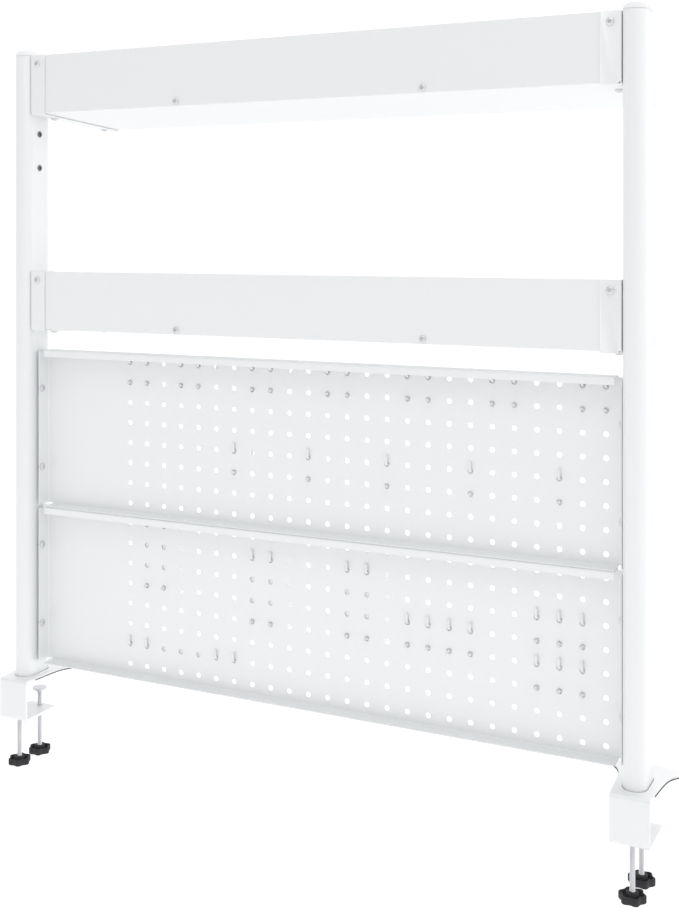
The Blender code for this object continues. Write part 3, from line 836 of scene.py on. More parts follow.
@dataclass
class Pegboard:
    """One perforated board, bent from a single sheet."""

    sheet: float = 0.0012
    pitch: float = 0.0254
    hole: float = 0.00635
    hole_sides: int = 20
    blank_end: float = 0.131
    columns: int = 25
    rows: int = 8
    bend: float = 0.0024
    lip: float = 0.018
    lip_drop: float = 0.009
    lip_short: float = 0.008
    screw_hole: float = 0.0058

    def cell(self) -> bpy.types.Mesh:
        """A square of sheet with one round hole, about the origin in the plane of X and Z."""
        half, radius = self.pitch / 2, self.hole / 2
        corners = [(half, half), (-half, half), (-half, -half), (half, -half)]
        quarter = self.hole_sides // 4
        rim = arc((0, 0), radius, 45, 405, self.hole_sides)[:-1]
        shape = bmesh.new()
        outer = [shape.verts.new((x, 0, z)) for x, z in corners]
        inner = [shape.verts.new((x, 0, z)) for x, z in rim]
        for i in range(4):
            back = [inner[(quarter * (i + 1) - k) % self.hole_sides] for k in range(quarter + 1)]
            shape.faces.new([outer[i], outer[(i + 1) % 4]] + back)
        mesh = bpy.data.meshes.new("cell")
        shape.to_mesh(mesh)
        shape.free()
        return mesh

    def build(self, name: str) -> bpy.types.Mesh:
        """Builds the board that fills a node's box."""
        low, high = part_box(name)
        part = SheetPart(self.sheet, -Y_AXIS)
        first = high.x - self.blank_end
        centre = Vector((first - self.pitch * (self.columns - 1) / 2, low.y, (low.z + high.z) / 2))
        values = {
            "Columns": self.columns,
            "Rows": self.rows,
            "Pitch": self.pitch,
            "Centre": centre,
            "Material": POWDER.material(),
        }
        field_mesh = Repeats.run(self.cell(), Repeats.field_tree(), values)
        floor, roof = low.z + self.bend, high.z - self.bend
        for vertex in field_mesh.vertices:
            vertex.co.z = min(max(vertex.co.z, floor), roof)
        part.include(field_mesh)
        bottom = centre.z - self.pitch * self.rows / 2
        levels = [floor] + [bottom + self.pitch * i for i in range(1, self.rows)] + [roof]
        edge_left, edge_right = first + self.pitch / 2, first - self.pitch * (self.columns - 0.5)
        ends = (low.x + self.bend, high.x - self.bend)
        lip_ends = (low.x + self.lip_short, high.x - self.lip_short)

        def on_web(x: float, z: float) -> Vector:
            """A point on the board's front face."""
            return Vector((x, low.y, z))

        part.quad_grid(on_web, sorted((ends[0], lip_ends[0], edge_right)), levels)
        part.quad_grid(on_web, sorted((edge_left, lip_ends[1], ends[1])), levels)
        stations = [lip_ends[0]] + [edge_right + self.pitch * i for i in range(self.columns + 1)] + [lip_ends[1]]
        self.fold_lips(part, stations, low, high)
        for side, x in zip((-1, 1), ends):
            self.fold_flange(part, side, x, levels, low, high)
        return part.solid()

    def fold_lips(self, part: SheetPart, stations: Sequence[float], low: Vector, high: Vector) -> None:
        """Adds the lip with its return along the top, and the flange along the bottom."""
        line = [Vector((x, low.y, high.z - self.bend)) for x in stations]
        line = part.bend(line, Z_AXIS, Y_AXIS, self.bend)
        line = part.run(line, Y_AXIS, self.sheet + self.lip - 2 * self.bend)
        line = part.bend(line, Y_AXIS, -Z_AXIS, self.bend)
        part.run(line, -Z_AXIS, self.lip_drop - self.bend)
        line = part.bend([Vector((x, low.y, low.z + self.bend)) for x in stations], -Z_AXIS, Y_AXIS, self.bend)
        part.run(line, Y_AXIS, self.sheet + self.lip - self.bend)

    def fold_flange(
        self, part: SheetPart, side: int, x: float, levels: Sequence[float], low: Vector, high: Vector
    ) -> None:
        """Adds one side flange with its screw holes."""
        line = part.bend([Vector((x, low.y, z)) for z in levels], X_AXIS * side, Y_AXIS, self.bend)
        wall, depth = line[0].x, high.y - line[0].y
        outline = line + [p + Y_AXIS * depth for p in reversed(line)]
        height = high.z + GAP - low.z
        seat = (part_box("post_left")[0].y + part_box("post_left")[1].y) / 2
        holes = []
        for share in (0.25, 0.75):
            centre = (seat, low.z + height * share)
            holes.append([Vector((wall, y, z)) for y, z in circle(self.screw_hole / 2, 16, centre)])
        part.flat(outline, holes)

    def place(self) -> None:
        """Puts both boards and their screws in the scene."""
        screw = Fastener(head=0.009, height=0.0025, shank=0.0046, length=0.011).mesh()
        for number, level in enumerate(("lower", "upper")):
            node = f"pegboard_{level}"
            piece(f"{node}_sheet", self.build(node), POWDER, nodes=[node])
            spots, nodes = [], []
            for side in Side:
                for end in ("low", "high"):
                    name = f"board_screw_{level}_{side.word}_{end}"
                    low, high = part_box(name)
                    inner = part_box(node)[1].x - self.sheet - GAP
                    seat = Vector((side.value * inner, (low.y + high.y) / 2, (low.z + high.z) / 2))
                    spots.append(Spot(seat, X_AXIS * -side.value))
                    nodes.append(name)
            piece(f"board_screws_{level}", fastened(screw, spots, ZINC, 3 + number), ZINC, nodes=nodes)


@dataclass
class Posts:
    """The two flat-sided oval posts with their caps, rings of painted shade at their feet and spare screws."""

    wall: float = 0.0015
    steps: int = 20
    cap_rim: float = 0.0016
    groove: float = 0.0004
    plug: float = 0.014
    # inset of the inner wall of both foot rings: the ring of painted shade and the pale collar
    seal: float = 0.0022
    drill: float = 0.0058
    panel_height: float = 0.0762
    spare_drops: tuple[float, float] = (0.0238, 0.0675)
    spreads: dict[str, tuple[Pair, ...]] = field(
        default_factory=lambda: {
            "seal": ((-0.0004, 0.0), (-0.0005, 0.0004), (0.0002, 0.0006)),
            "collar": ((-0.0030, 0.0), (-0.0026, 0.0006), (-0.0014, 0.0008), (-0.0008, 0.0002)),
        }
    )

    def outline(self, width: float, depth: float, inset: float = 0.0) -> list[Pair]:
        """The oval, drawn in by an inset."""
        radius, centre = width / 2 - inset, (depth - width) / 2
        front = arc((0, centre), radius, 0, 180, self.steps)
        return front + arc((0, -centre), radius, 180, 360, self.steps)

    def tube(self, side: Side) -> bpy.types.Mesh:
        """The post, drilled on its inner side."""
        low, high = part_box(f"post_{side.word}")
        centre = (low + high) / 2
        size = high - low
        shape = bmesh.new()
        loft(shape, [ring(self.outline(size.x, size.y), z) for z in (low.z, high.z)], (False, False))
        outward(shape)
        tube = applied(as_mesh(shape), ("SOLIDIFY", {"thickness": self.wall, "offset": -1.0}))
        tube.transform(Matrix.Translation((centre.x, centre.y, 0)))
        holes = []
        for z in self.drilled():
            tool = bmesh.new()
            inner = low.x if side is Side.LEFT else high.x
            turn = Matrix.Translation((inner, centre.y, z)) @ Matrix.Rotation(math.pi / 2, 4, "Y")
            turned(tool, [(self.drill / 2, -0.004), (self.drill / 2, 0.004)], 20, turn)
            holes.append(as_mesh(outward(tool)))
        return eased(cut(tube, holes), 0.0002, 1)

    def drilled(self) -> list[float]:
        """The heights of all screw holes in a post."""
        names = [f"board_screw_{level}_left_{end}" for level in ("lower", "upper") for end in ("low", "high")]
        boards = [(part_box(n)[0].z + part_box(n)[1].z) / 2 for n in names]
        return boards + self.spares()

    def spares(self) -> list[float]:
        """The heights of the two spare holes under the top shelf."""
        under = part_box("shelf_top_back_panel")[1].z - self.panel_height
        return [under - drop for drop in self.spare_drops]

    def cap(self, side: Side) -> bpy.types.Mesh:
        """The domed end cap with its plug and a fine groove under its rim."""
        low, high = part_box(f"post_{side.word}")
        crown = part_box(f"post_cap_{side.word}")[1].z
        centre, size = (low + high) / 2, high - low
        base = high.z + GAP
        rise = crown - base - self.cap_rim
        levels = [(self.wall + GAP, base - self.plug), (self.wall + GAP, base), (self.groove, base)]
        levels += [(self.groove, base + self.groove), (0.0, base + self.groove * 1.5), (0.0, base + self.cap_rim)]
        for i in range(1, 10):
            a = math.radians(9.5 * i)
            levels.append((size.x * 0.46 * (1 - math.cos(a)), base + self.cap_rim + rise * math.sin(a)))
        shape = bmesh.new()
        loft(shape, [ring(self.outline(size.x, size.y, inset), z) for inset, z in levels])
        bmesh.ops.translate(shape, verts=shape.verts, vec=(centre.x, centre.y, 0))
        return as_mesh(outward(shape), 45)

    def foot(self, side: Side, look: str) -> bpy.types.Mesh:
        """The dark ring of painted shade under the post, or the pale collar pressed round it."""
        low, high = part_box(f"post_{side.word}")
        centre, size = (low + high) / 2, high - low
        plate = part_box(f"clamp_{side.word}")[1].z
        spread = self.spreads[look]
        shape = bmesh.new()
        rings = [ring(self.outline(size.x, size.y, inset), plate + dz) for inset, dz in spread]
        rings.append(ring(self.outline(size.x, size.y, self.seal), plate + spread[-1][1]))
        rings.append(ring(self.outline(size.x, size.y, self.seal), plate))
        loft(shape, rings + [rings[0]], (False, False))
        bmesh.ops.remove_doubles(shape, verts=shape.verts, dist=MERGE)
        bmesh.ops.translate(shape, verts=shape.verts, vec=(centre.x, centre.y, 0))
        return as_mesh(outward(shape))

    def bolt(self, side: Side) -> bpy.types.Mesh:
        """The countersunk foot bolt with a hexagon socket."""
        low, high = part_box(f"post_foot_bolt_{side.word}")
        centre, head = (low + high) / 2, (high.x - low.x) / 2
        shank = 0.003
        profile = [(head, low.z), (head, low.z + 0.0003), (shank, low.z + head - shank)]
        profile += [(shank, high.z - 0.0006), (shank * 0.8, high.z)]
        shape, tool = bmesh.new(), bmesh.new()
        turned(shape, profile, 32)
        loft(tool, [ring(circle(0.0023, 6), low.z - 0.001), ring(circle(0.0023, 6), low.z + 0.0024)])
        made = cut(as_mesh(outward(shape)), [as_mesh(outward(tool))])
        made.transform(Matrix.Translation((centre.x, centre.y, 0)))
        made.shade_smooth()
        made.set_sharp_from_angle(angle=math.radians(35))
        return made

    def place(self) -> None:
        """Puts both posts and what is on them in the scene."""
        nut = SocketScrew().mesh()
        for side in Side:
            word = side.word
            piece(f"post_{word}_tube", self.tube(side), POWDER, nodes=[f"post_{word}"])
            piece(f"post_{word}_end_cap", self.cap(side), CAP, nodes=[f"post_cap_{word}"])
            # grey ring of painted shade at the post's foot
            piece(f"post_{word}_foot_seal", self.foot(side, "seal"), FOOT_SHADE)
            piece(f"post_{word}_foot_collar", self.foot(side, "collar"), POWDER)
            piece(f"post_{word}_bolt", self.bolt(side), ZINC, nodes=[f"post_foot_bolt_{word}"])
            low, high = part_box(f"post_{word}")
            inner = low.x if side is Side.LEFT else high.x
            spots = [
                Spot(Vector((inner, (low.y + high.y) / 2, z)), X_AXIS * -side.value) for z in self.spares()
            ]
            piece(f"post_{word}_spare_screws", fastened(nut, spots, SOCKET, 11), SOCKET)


@dataclass
class Shelf:
    """One shelf: a sloping tray and a back panel between two folded brackets."""

    level: str
    sheet: float = 0.0012
    bracket_sheet: float = 0.0015
    panel_height: float = 0.0762
    flange: float = 0.0227
    ledge: float = 0.020
    nose: float = 0.018
    drop: float = 0.010
    bend: float = 0.0026
    hem: float = 0.0016
    relief: float = 0.0006
    depth: float = 0.166
    flange_screw_drop: float = 0.0112
    panel_screws: float = 0.162
    panel_screw_rise: float = 0.0072
    ledge_screws: tuple[float, float] = (-0.051, -0.159)

    def bottom(self) -> float:
        """The height of the rear of the shelf's underside."""
        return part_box(f"shelf_{self.level}_back_panel")[1].z - self.panel_height

    def slope(self, y: float) -> float:
        """The height of the underside over its rear edge's, at a place from back to front."""
        low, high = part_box(f"shelf_{self.level}_bracket_left")
        return -self.drop * (high.y - y) / (high.y - low.y)

    def bracket(self, side: Side) -> bpy.types.Mesh:
        """A side plate with a flange behind and a ledge under the tray."""
        low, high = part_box(f"shelf_{self.level}_bracket_left")
        base, r = self.bottom(), self.bend
        outer, back, front = high.x, high.y, low.y
        post_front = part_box("post_left")[0].y
        top = base + self.panel_height
        part = SheetPart(self.bracket_sheet, X_AXIS)
        rear_foot = Vector((outer, back - r, base + self.slope(back - r) + r))
        front_foot = Vector((outer, front, base + self.slope(front) + r))
        nose = Vector((outer, front, base + self.slope(front) + self.nose))
        crest = Vector((outer, post_front, top))
        rear_top = Vector((outer, back - r, top))
        shoulder = rounded([front_foot, nose, crest], 0.006, 5, closed=False)[1:-1]
        part.flat([rear_foot, front_foot, *shoulder, crest, rear_top])
        line = part.bend([rear_foot, rear_top], Y_AXIS, -X_AXIS, r)
        width = self.flange - r
        a, b = line
        foot = a - X_AXIS * self.relief - Z_AXIS * r
        far = [a - X_AXIS * width - Z_AXIS * r, b - X_AXIS * width]
        part.flat(rounded([b, far[1], far[0], foot], 0.0015, 4, closed=False) + [a])
        a, b = part.bend([rear_foot, front_foot], -Z_AXIS, -X_AXIS, r)
        tail = (a - b).normalized() * (r - self.bracket_sheet - self.relief / 2)
        across = X_AXIS * (self.ledge - r)
        part.flat([a, b, b - across, a - across + tail, a - X_AXIS * self.relief + tail])
        made = part.solid(0.0003, 2)
        return made if side is Side.LEFT else at(made, Matrix.Diagonal((-1, 1, 1, 1)))

    def panel(self) -> bpy.types.Mesh:
        """The back panel with its four rounded corners."""
        low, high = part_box(f"shelf_{self.level}_back_panel")
        corners = [(low.x, low.z), (high.x, low.z), (high.x, high.z), (low.x, high.z)]
        part = SheetPart(self.sheet, Y_AXIS)
        part.flat(rounded([Vector((x, high.y, z)) for x, z in corners], 0.0015, 4))
        return part.solid(0.0003, 2)

    def tray(self) -> bpy.types.Mesh:
        """The tray: a floor between a rear lip and a hemmed front lip."""
        low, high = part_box(f"shelf_{self.level}_tray")
        base = self.bottom() + self.bracket_sheet + GAP
        back, front = high.y, low.y
        rear, nose = base + self.slope(back), base + self.slope(front)
        path = [
            Vector((0, back, high.z)),
            Vector((0, back, rear)),
            Vector((0, front, nose)),
            Vector((0, front, nose + 0.0144)),
            Vector((0, front + 3 * self.sheet, nose + 0.0144)),
            Vector((0, front + 3 * self.sheet, nose + 0.0080)),
        ]
        bends = rounded(path, self.hem, 5, closed=False)
        part = SheetPart(self.sheet, -Z_AXIS)
        rows = [[part.skin.verts.new((x, p.y, p.z)) for x in (low.x, high.x)] for p in bends]
        for one, two in zip(rows, rows[1:]):
            part.skin.faces.new((one[0], one[1], two[1], two[0]))
        return part.solid(0.0003, 2)

    def screws(self) -> list[Spot]:
        """Where the shelf's visible screws sit."""
        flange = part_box(f"shelf_{self.level}_bracket_left")
        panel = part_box(f"shelf_{self.level}_back_panel")
        spots = []
        for side in Side:
            x = side.value * (flange[1].x - self.flange / 2)
            spots.append(Spot(Vector((x, flange[1].y, panel[1].z - self.flange_screw_drop)), Y_AXIS))
            seat = Vector((side.value * self.panel_screws, panel[1].y, self.bottom() + self.panel_screw_rise))
            spots.append(Spot(seat, Y_AXIS))
        return spots

    def under_screws(self) -> list[Spot]:
        """Where the screws under the ledges sit."""
        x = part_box(f"shelf_{self.level}_bracket_left")[1].x - self.ledge * 0.55
        down = Vector((0, self.drop / self.depth, -1)).normalized()
        return [
            Spot(Vector((side.value * x, y, self.bottom() + self.slope(y))), down)
            for side in Side
            for y in self.ledge_screws
        ]

    def place(self) -> None:
        """Puts the shelf in the scene."""
        name = f"shelf_{self.level}"
        piece(f"{name}_folded_tray", self.tray(), POWDER, nodes=[f"{name}_tray"])
        piece(f"{name}_rear_panel", self.panel(), POWDER, nodes=[f"{name}_back_panel"])
        for side in Side:
            node = f"{name}_bracket_{side.word}"
            piece(f"{node}_plate", self.bracket(side), POWDER, nodes=[node])
        seed = 21 if self.level == "middle" else 34
        rear = Fastener(head=0.0088, height=0.0026, shank=0.0040, length=0.006).mesh()
        under = Fastener(head=0.0094, height=0.0030, shank=0.0040, length=0.005).mesh()
        piece(f"{name}_rear_screws", fastened(rear, self.screws(), ZINC, seed), ZINC)
        piece(f"{name}_ledge_screws", fastened(under, self.under_screws(), ZINC, seed + 1), ZINC)


@dataclass
class Clamp:
    """One desk clamp: a folded strip with two threaded rods, their swivel pads and knobs."""

    side: Side
    plate: float = 0.003
    width: float = 0.0414
    reach: float = 0.090
    neck_spread: float = 0.0055
    ear_span: float = 0.038
    ear_place: float = 0.078
    ear_tip: float = 0.003
    jaw_reach: float = 0.057
    jaw_corner: float = 0.004
    crease: float = 0.0035
    fold: float = 0.005
    # sizes of the near-black strip of painted shade round the plate's edge
    liner: float = 0.0006
    liner_rise: float = 0.0010
    rod: float = 0.006
    thread_pitch: float = 0.001
    thread_depth: float = 0.00055
    lobes: int = 6
    lobe_depth: float = 0.0026
    dish: float = 0.0050

    def rods(self) -> dict[str, float]:
        """The place of each rod from the desk's edge."""
        ends = ("rear", "front")
        boxes = {e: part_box(f"clamp_rod_{self.side.word}_{e}") for e in ends}
        return {e: (low.y + high.y) / 2 for e, (low, high) in boxes.items()}

    def strip(self) -> bpy.types.Mesh:
        """The folded strip: a back plate between the plate on the desk and the jaw below."""
        low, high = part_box(f"clamp_{self.side.word}")
        middle, back = (low.x + high.x) / 2, high.y
        sides = (middle - self.width / 2, middle + self.width / 2)
        upper, lower = high.z - self.crease, low.z + self.fold
        part = SheetPart(self.plate, Y_AXIS)
        wall = [(sides[0], lower), (sides[1], lower), (sides[1], upper), (sides[0], upper)]
        part.flat([Vector((x, back, z)) for x, z in wall])
        top = part.bend([Vector((x, back, upper)) for x in sides], Z_AXIS, -Y_AXIS, self.crease)
        foot = (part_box("post_foot_bolt_left")[0].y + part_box("post_foot_bolt_left")[1].y) / 2
        outline = [top[0], top[1]] + [Vector((middle + x, y, high.z)) for x, y in self.spread()]
        part.flat(outline, [[Vector((middle + x, y, high.z)) for x, y in circle(0.0034, 24, (0, foot))]])
        base = part.bend([Vector((x, back, lower)) for x in sides], -Z_AXIS, -Y_AXIS, self.fold)
        outline = [base[0], base[1]] + [Vector((middle + x, y, low.z)) for x, y in self.jaw()]
        bores = [circle(self.rod / 2 + 0.0004, 24, (0, y)) for y in self.rods().values()]
        part.flat(outline, [[Vector((middle + x, y, low.z)) for x, y in bore] for bore in bores])
        return part.solid(0.0004, 2)

    def spread(self) -> list[Pair]:
        """The edge of the plate on the desk, from its neck round the two ears and the bowed front."""
        half, start, shoulder = self.width / 2, self.plate - self.crease, self.ear_tip - self.ear_place
        sweep, steps = self.ear_span - self.neck_spread - half, 28
        right = []
        for step in range(1, steps + 1):
            t = math.sqrt(step / steps)
            right.append((half + self.neck_spread * t + sweep * t**8, start + (shoulder - start) * t))
        right += arc((self.ear_span, -self.ear_place), self.ear_tip, 90, -90, 12)[1:]
        bow, steps = self.reach - self.ear_place - self.ear_tip, 16
        for step in range(1, steps):
            t = 1 - step / steps
            right.append((self.ear_span * t, -self.reach + bow * t * t))
        return right + [(0.0, -self.reach)] + [(-x, y) for x, y in reversed(right)]

    def liner_edge(self) -> bpy.types.Mesh:
        """A thin near-black strip round the foot of the plate on the desk: painted shade along the plate's edge."""
        low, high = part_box(f"clamp_{self.side.word}")
        middle, base = (low.x + high.x) / 2, high.z - self.plate
        edge = [Vector((x + middle, y, base)) for x, y in self.spread()]
        rings = []
        for i, point in enumerate(edge):
            along = edge[min(i + 1, len(edge) - 1)] - edge[max(i - 1, 0)]
            out = Vector((-along.y, along.x, 0)).normalized() * self.liner
            low_rim, high_rim = Z_AXIS * self.liner * 0.1, Z_AXIS * self.liner_rise
            inner, outer = point - out * 0.4, point + out
            rings.append([inner + low_rim, outer + low_rim, outer + high_rim, inner + high_rim])
        shape = bmesh.new()
        loft(shape, rings)
        return as_mesh(outward(shape))

    def jaw(self) -> list[Pair]:
        """The edge of the lower jaw."""
        half = self.width / 2
        corner = arc((half - self.jaw_corner, -self.jaw_reach + self.jaw_corner), self.jaw_corner, 0, -90, 10)
        return corner + [(-x, y) for x, y in reversed(corner)]

    def threaded_rod(self, end: str) -> bpy.types.Mesh:
        """A rod with a real thread cut along it and chamfered ends."""
        low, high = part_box(f"clamp_rod_{self.side.word}_{end}")
        sides, per_pitch = 20, 5
        step = self.thread_pitch / per_pitch
        count = int((high.z - low.z) / step)
        rings = []
        for i in range(count + 1):
            z = low.z + (high.z - low.z) * i / count
            near = min(z - low.z, high.z - z)
            limit = self.rod / 2 * min(1.0, 0.72 + near / 0.003)
            row = []
            for j in range(sides):
                phase = (z / self.thread_pitch - j / sides) % 1.0
                radius = self.rod / 2 - self.thread_depth * abs(2 * phase - 1)
                a = math.tau * j / sides
                radius = min(radius, limit)
                row.append(Vector((radius * math.cos(a), radius * math.sin(a), z)))
            rings.append(row)
        shape = bmesh.new()
        loft(shape, rings)
        centre = (low + high) / 2
        bmesh.ops.translate(shape, verts=shape.verts, vec=(centre.x, centre.y, 0))
        return as_mesh(outward(shape), 60)

    def pad(self, end: str) -> bpy.types.Mesh:
        """A pressed swivel pad with a rolled rim and a collar round the rod."""
        low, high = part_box(f"clamp_pad_{self.side.word}_{end}")
        radius, bore, centre = (high.x - low.x) / 2, self.rod / 2 + 0.0004, (low + high) / 2
        under = high.z - 0.003
        profile = [
            (bore, under + 0.0004),
            (bore, low.z),
            (bore * 1.25, low.z),
            (bore * 1.30, low.z + 0.0004),
            (bore * 1.35, under - 0.0005),
            (bore * 1.6, under),
            (radius - 0.0008, under + 0.0002),
            (radius - 0.0002, under + 0.0007),
            (radius, under + 0.0014),
            (radius - 0.0002, high.z - 0.0006),
            (radius - 0.0010, high.z),
            (radius * 0.55, high.z - 0.0001),
        ]
        shape = bmesh.new()
        turned(shape, profile, 40)
        bmesh.ops.translate(shape, verts=shape.verts, vec=(centre.x, centre.y, 0))
        return as_mesh(outward(shape), 38)

    def knob(self, end: str) -> bpy.types.Mesh:
        """A lobed hand knob with a dished top, a hub and softened edges."""
        low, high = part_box(f"clamp_knob_{self.side.word}_{end}")
        centre, hub_rise = (low + high) / 2, 0.002
        mean = (high.x - low.x) / 2 - self.lobe_depth / 2
        top = high.z - hub_rise
        points = 96

        def rim(z: float, inset: float, depth: float) -> Ring:
            """A lobed ring at a height, drawn in by an inset."""
            row = []
            for i in range(points):
                a = math.tau * i / points
                radius = mean - inset + depth * self.lobe_depth / 2 * math.cos(self.lobes * a)
                row.append(Vector((radius * math.cos(a), radius * math.sin(a), z)))
            return row

        rings = [rim(low.z + 0.0004, 0.0055, 0.2), rim(low.z + 0.0004, 0.0050, 0.3), rim(low.z, 0.0044, 0.4)]
        rings += [rim(low.z, 0.0014, 0.9), rim(low.z + 0.0004, 0.0006, 1.0), rim(low.z + 0.0013, 0.0, 1.0)]
        floor = top - self.dish
        rings += [rim(top - 0.0009, 0.0, 1.0), rim(top - 0.0003, 0.0002, 1.0), rim(top, 0.0007, 0.95)]
        rings += [rim(top, 0.0017, 0.9), rim(top - 0.0004, 0.0021, 0.85), rim(floor + 0.0005, 0.0027, 0.7)]
        rings += [rim(floor, 0.0034, 0.5), rim(floor, 0.0058, 0.05)]
        for radius, z in ((0.0066, floor + 0.0003), (0.0062, high.z - 0.0004), (0.0058, high.z), (0.0042, high.z)):
            rings.append(ring(circle(radius, points), z))
        shape = bmesh.new()
        loft(shape, rings)
        bmesh.ops.translate(shape, verts=shape.verts, vec=(centre.x, centre.y, 0))
        return as_mesh(outward(shape), 50)

    def place(self) -> None:
        """Puts the clamp and its moving screws in the scene."""
        word = self.side.word
        piece(f"clamp_{word}_strip", self.strip(), POWDER, nodes=[f"clamp_{word}"])
        # near-black strip of painted shade along the plate's edge
        piece(f"clamp_{word}_liner", self.liner_edge(), EDGE_SHADE)
        for end in self.rods():
            tail = f"{word}_{end}"
            screw_body = f"clamp_screw_{tail}_body"
            rod, knob, pad = f"clamp_rod_{tail}", f"clamp_knob_{tail}", f"clamp_pad_{tail}"
            piece(f"{rod}_thread", self.threaded_rod(end), ZINC, screw_body, [rod])
            piece(f"{knob}_grip", self.knob(end), BLACK, screw_body, [knob])
            piece(f"{pad}_disc", self.pad(end), ZINC, f"clamp_pad_{tail}_body", [pad])


@dataclass
class Holders:
    """Everything that hangs on the boards: hooks, cups, bins and the rack."""

    pitch: float = 0.0254
    wire: float = 0.0036
    sheet: float = 0.0015
    plate: float = 0.0015
    margin: float = 0.007
    board_sheet: float = 0.0012
    tang_rise: float = 0.0105
    pin: float = 0.007
    reach: float = 0.038
    tip: float = 0.012
    hooks: dict[str, tuple[int, int]] = field(
        default_factory=lambda: {"double_hook": (7, 2), "single_hook": (5, 1), "row_hook": (4, 1)}
    )

    def front(self) -> float:
        """The front face of the boards."""
        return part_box("pegboard_lower")[0].y

    def rear(self) -> float:
        """The back face of the boards' web."""
        return self.front() + self.board_sheet

    def tang(self, shape: bmesh.types.BMesh, x: float, z: float) -> None:
        """A wire through a hole that turns up behind the board."""
        behind = self.rear() + self.wire / 2 + 2 * GAP
        path = [
            Vector((x, self.front() - self.plate, z)),
            Vector((x, behind, z)),
            Vector((x, behind, z + self.tang_rise)),
        ]
        wire(shape, path, self.wire, self.wire * 0.6)

    def peg(self, shape: bmesh.types.BMesh, x: float, z: float) -> None:
        """A straight peg through a lower hole."""
        wire(shape, [Vector((x, self.front() - self.plate, z)), Vector((x, self.rear() + self.pin, z))], self.wire, 0)

    def plate_sheet(self, low: Pair, high: Pair, corner: float) -> bpy.types.Mesh:
        """A flat plate in front of the board, from its (x, z) corners."""
        back = self.front() - GAP
        shape = bmesh.new()
        corners = [(low[0], low[1]), (high[0], low[1]), (high[0], high[1]), (low[0], high[1])]
        outline = rounded([Vector((x, 0, z)) for x, z in corners], corner, 5)
        loft(shape, [[v + Y_AXIS * y for v in outline] for y in (back - self.plate, back)])
        return eased(as_mesh(outward(shape)), 0.0003, 2)

    def hook(self, name: str, columns: int) -> bpy.types.Mesh:
        """A plate with a tang, a peg and a prong in each of its columns."""
        low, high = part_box(name)
        x, z = high.x - self.margin, low.z + self.margin + self.pitch
        shape = bmesh.new()
        shape.from_mesh(self.plate_sheet((low.x, low.z), (high.x, z + self.margin), 0.003))
        face = self.front() - GAP - self.plate
        for i in range(columns):
            px, pz, end = x - self.pitch * i, z - self.pitch / 2, self.front() - self.reach
            self.tang(shape, px, z)
            self.peg(shape, px, z - self.pitch)
            path = [(face + self.plate / 2, pz), (end, pz)]
            path += [(end - self.tip * 0.35, pz + self.tip * 0.2), (end - self.tip * 0.5, pz + self.tip)]
            wire(shape, [Vector((px, y, h)) for y, h in path], self.wire, 0.004)
            bead = [(self.wire * 0.5, 0.0016), (self.wire * 0.62, 0.0005), (self.wire * 0.86, -0.0001)]
            turn = Matrix.Translation((px, face, pz)) @ Matrix.Rotation(math.pi / 2, 4, "X")
            turned(shape, bead, 20, turn)
        return self.joined(shape)

    def joined(self, shape: bmesh.types.BMesh) -> bpy.types.Mesh:
        """A mesh of closed shells, each turned outwards."""
        return as_mesh(outward(shape), 42)

    def tub(self, box: tuple[Pair, Pair, Pair], corner: float) -> bpy.types.Mesh:
        """An open box of thin sheet with round upright corners and a rolled rim.

        Args:
            box: its (low, high) pairs along X, Y and Z.
            corner: the radius of the upright corners.

        Returns:
            The box's mesh.
        """
        (x0, x1), (y0, y1), (z0, z1) = box
        half_x, half_y, t = (x1 - x0) / 2, (y1 - y0) / 2, self.sheet
        rise = z1 - z0
        levels = [(0.0022, 0.0), (0.0008, 0.0005), (0.0, 0.0020), (0.0, rise - 0.0006), (0.0003, rise - 0.0001)]
        levels += [(t * 0.5, rise), (t - 0.0003, rise - 0.0001), (t, rise - 0.0006)]
        levels += [(t, t + 0.0022), (t + 0.0009, t + 0.0006), (t + 0.0026, t)]
        rings = [
            ring(rounded_box(half_x - i, half_y - i, max(corner - i, 0.0004), 6), z0 + dz)
            for i, dz in levels
        ]
        shape = bmesh.new()
        loft(shape, rings)
        bmesh.ops.translate(shape, verts=shape.verts, vec=((x0 + x1) / 2, (y0 + y1) / 2, 0))
        return as_mesh(outward(shape), 40)

    def holder(self, name: str, columns: int, rows: int, above: float, corner: float) -> bpy.types.Mesh:
        """An open tub on tangs, with pegs along its lowest row."""
        low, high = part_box(name)
        z = low.z + self.margin + self.pitch * (rows - 1)
        middle = (low.x + high.x) / 2
        shape = bmesh.new()
        shape.from_mesh(self.tub(((low.x, high.x), (low.y, self.front() - GAP), (low.z, z + above)), corner))
        for i in range(columns):
            px = middle + self.pitch * ((columns - 1) / 2 - i)
            self.tang(shape, px, z)
            self.peg(shape, px, z - self.pitch * (rows - 1))
        return self.joined(shape)

    def rack(self, name: str, height: float) -> bpy.types.Mesh:
        """A long shallow tray on two pairs of tangs."""
        low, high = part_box(name)
        z = low.z + height - self.margin
        shape = bmesh.new()
        shape.from_mesh(self.tub(((low.x, high.x), (low.y, self.front() - GAP), (low.z, low.z + height)), 0.003))
        span = round((high.x - low.x - 2 * self.margin) / self.pitch)
        for i in (0, 1, span - 1, span):
            self.tang(shape, high.x - self.margin - self.pitch * i, z)
        return self.joined(shape)

    def place(self) -> None:
        """Puts every hook and holder in the scene."""
        for kind, (count, columns) in self.hooks.items():
            for i in range(1, count + 1):
                node = f"{kind}_{i}"
                piece(f"{node}_wire", self.hook(node, columns), HOLDER, nodes=[node])
        for i in range(1, 4):
            node = f"tool_cup_{i}"
            piece(f"{node}_shell", self.holder(node, 2, 4, 0.010, 0.006), HOLDER, nodes=[node])
        for level in ("upper", "lower"):
            node = f"parts_bin_{level}"
            piece(f"{node}_shell", self.holder(node, 3, 2, self.margin, 0.004), HOLDER, nodes=[node])
        piece("tool_rack_tray", self.rack("tool_rack", 0.018), HOLDER, nodes=["tool_rack"])


# ------------------------------------------------------------------ stage


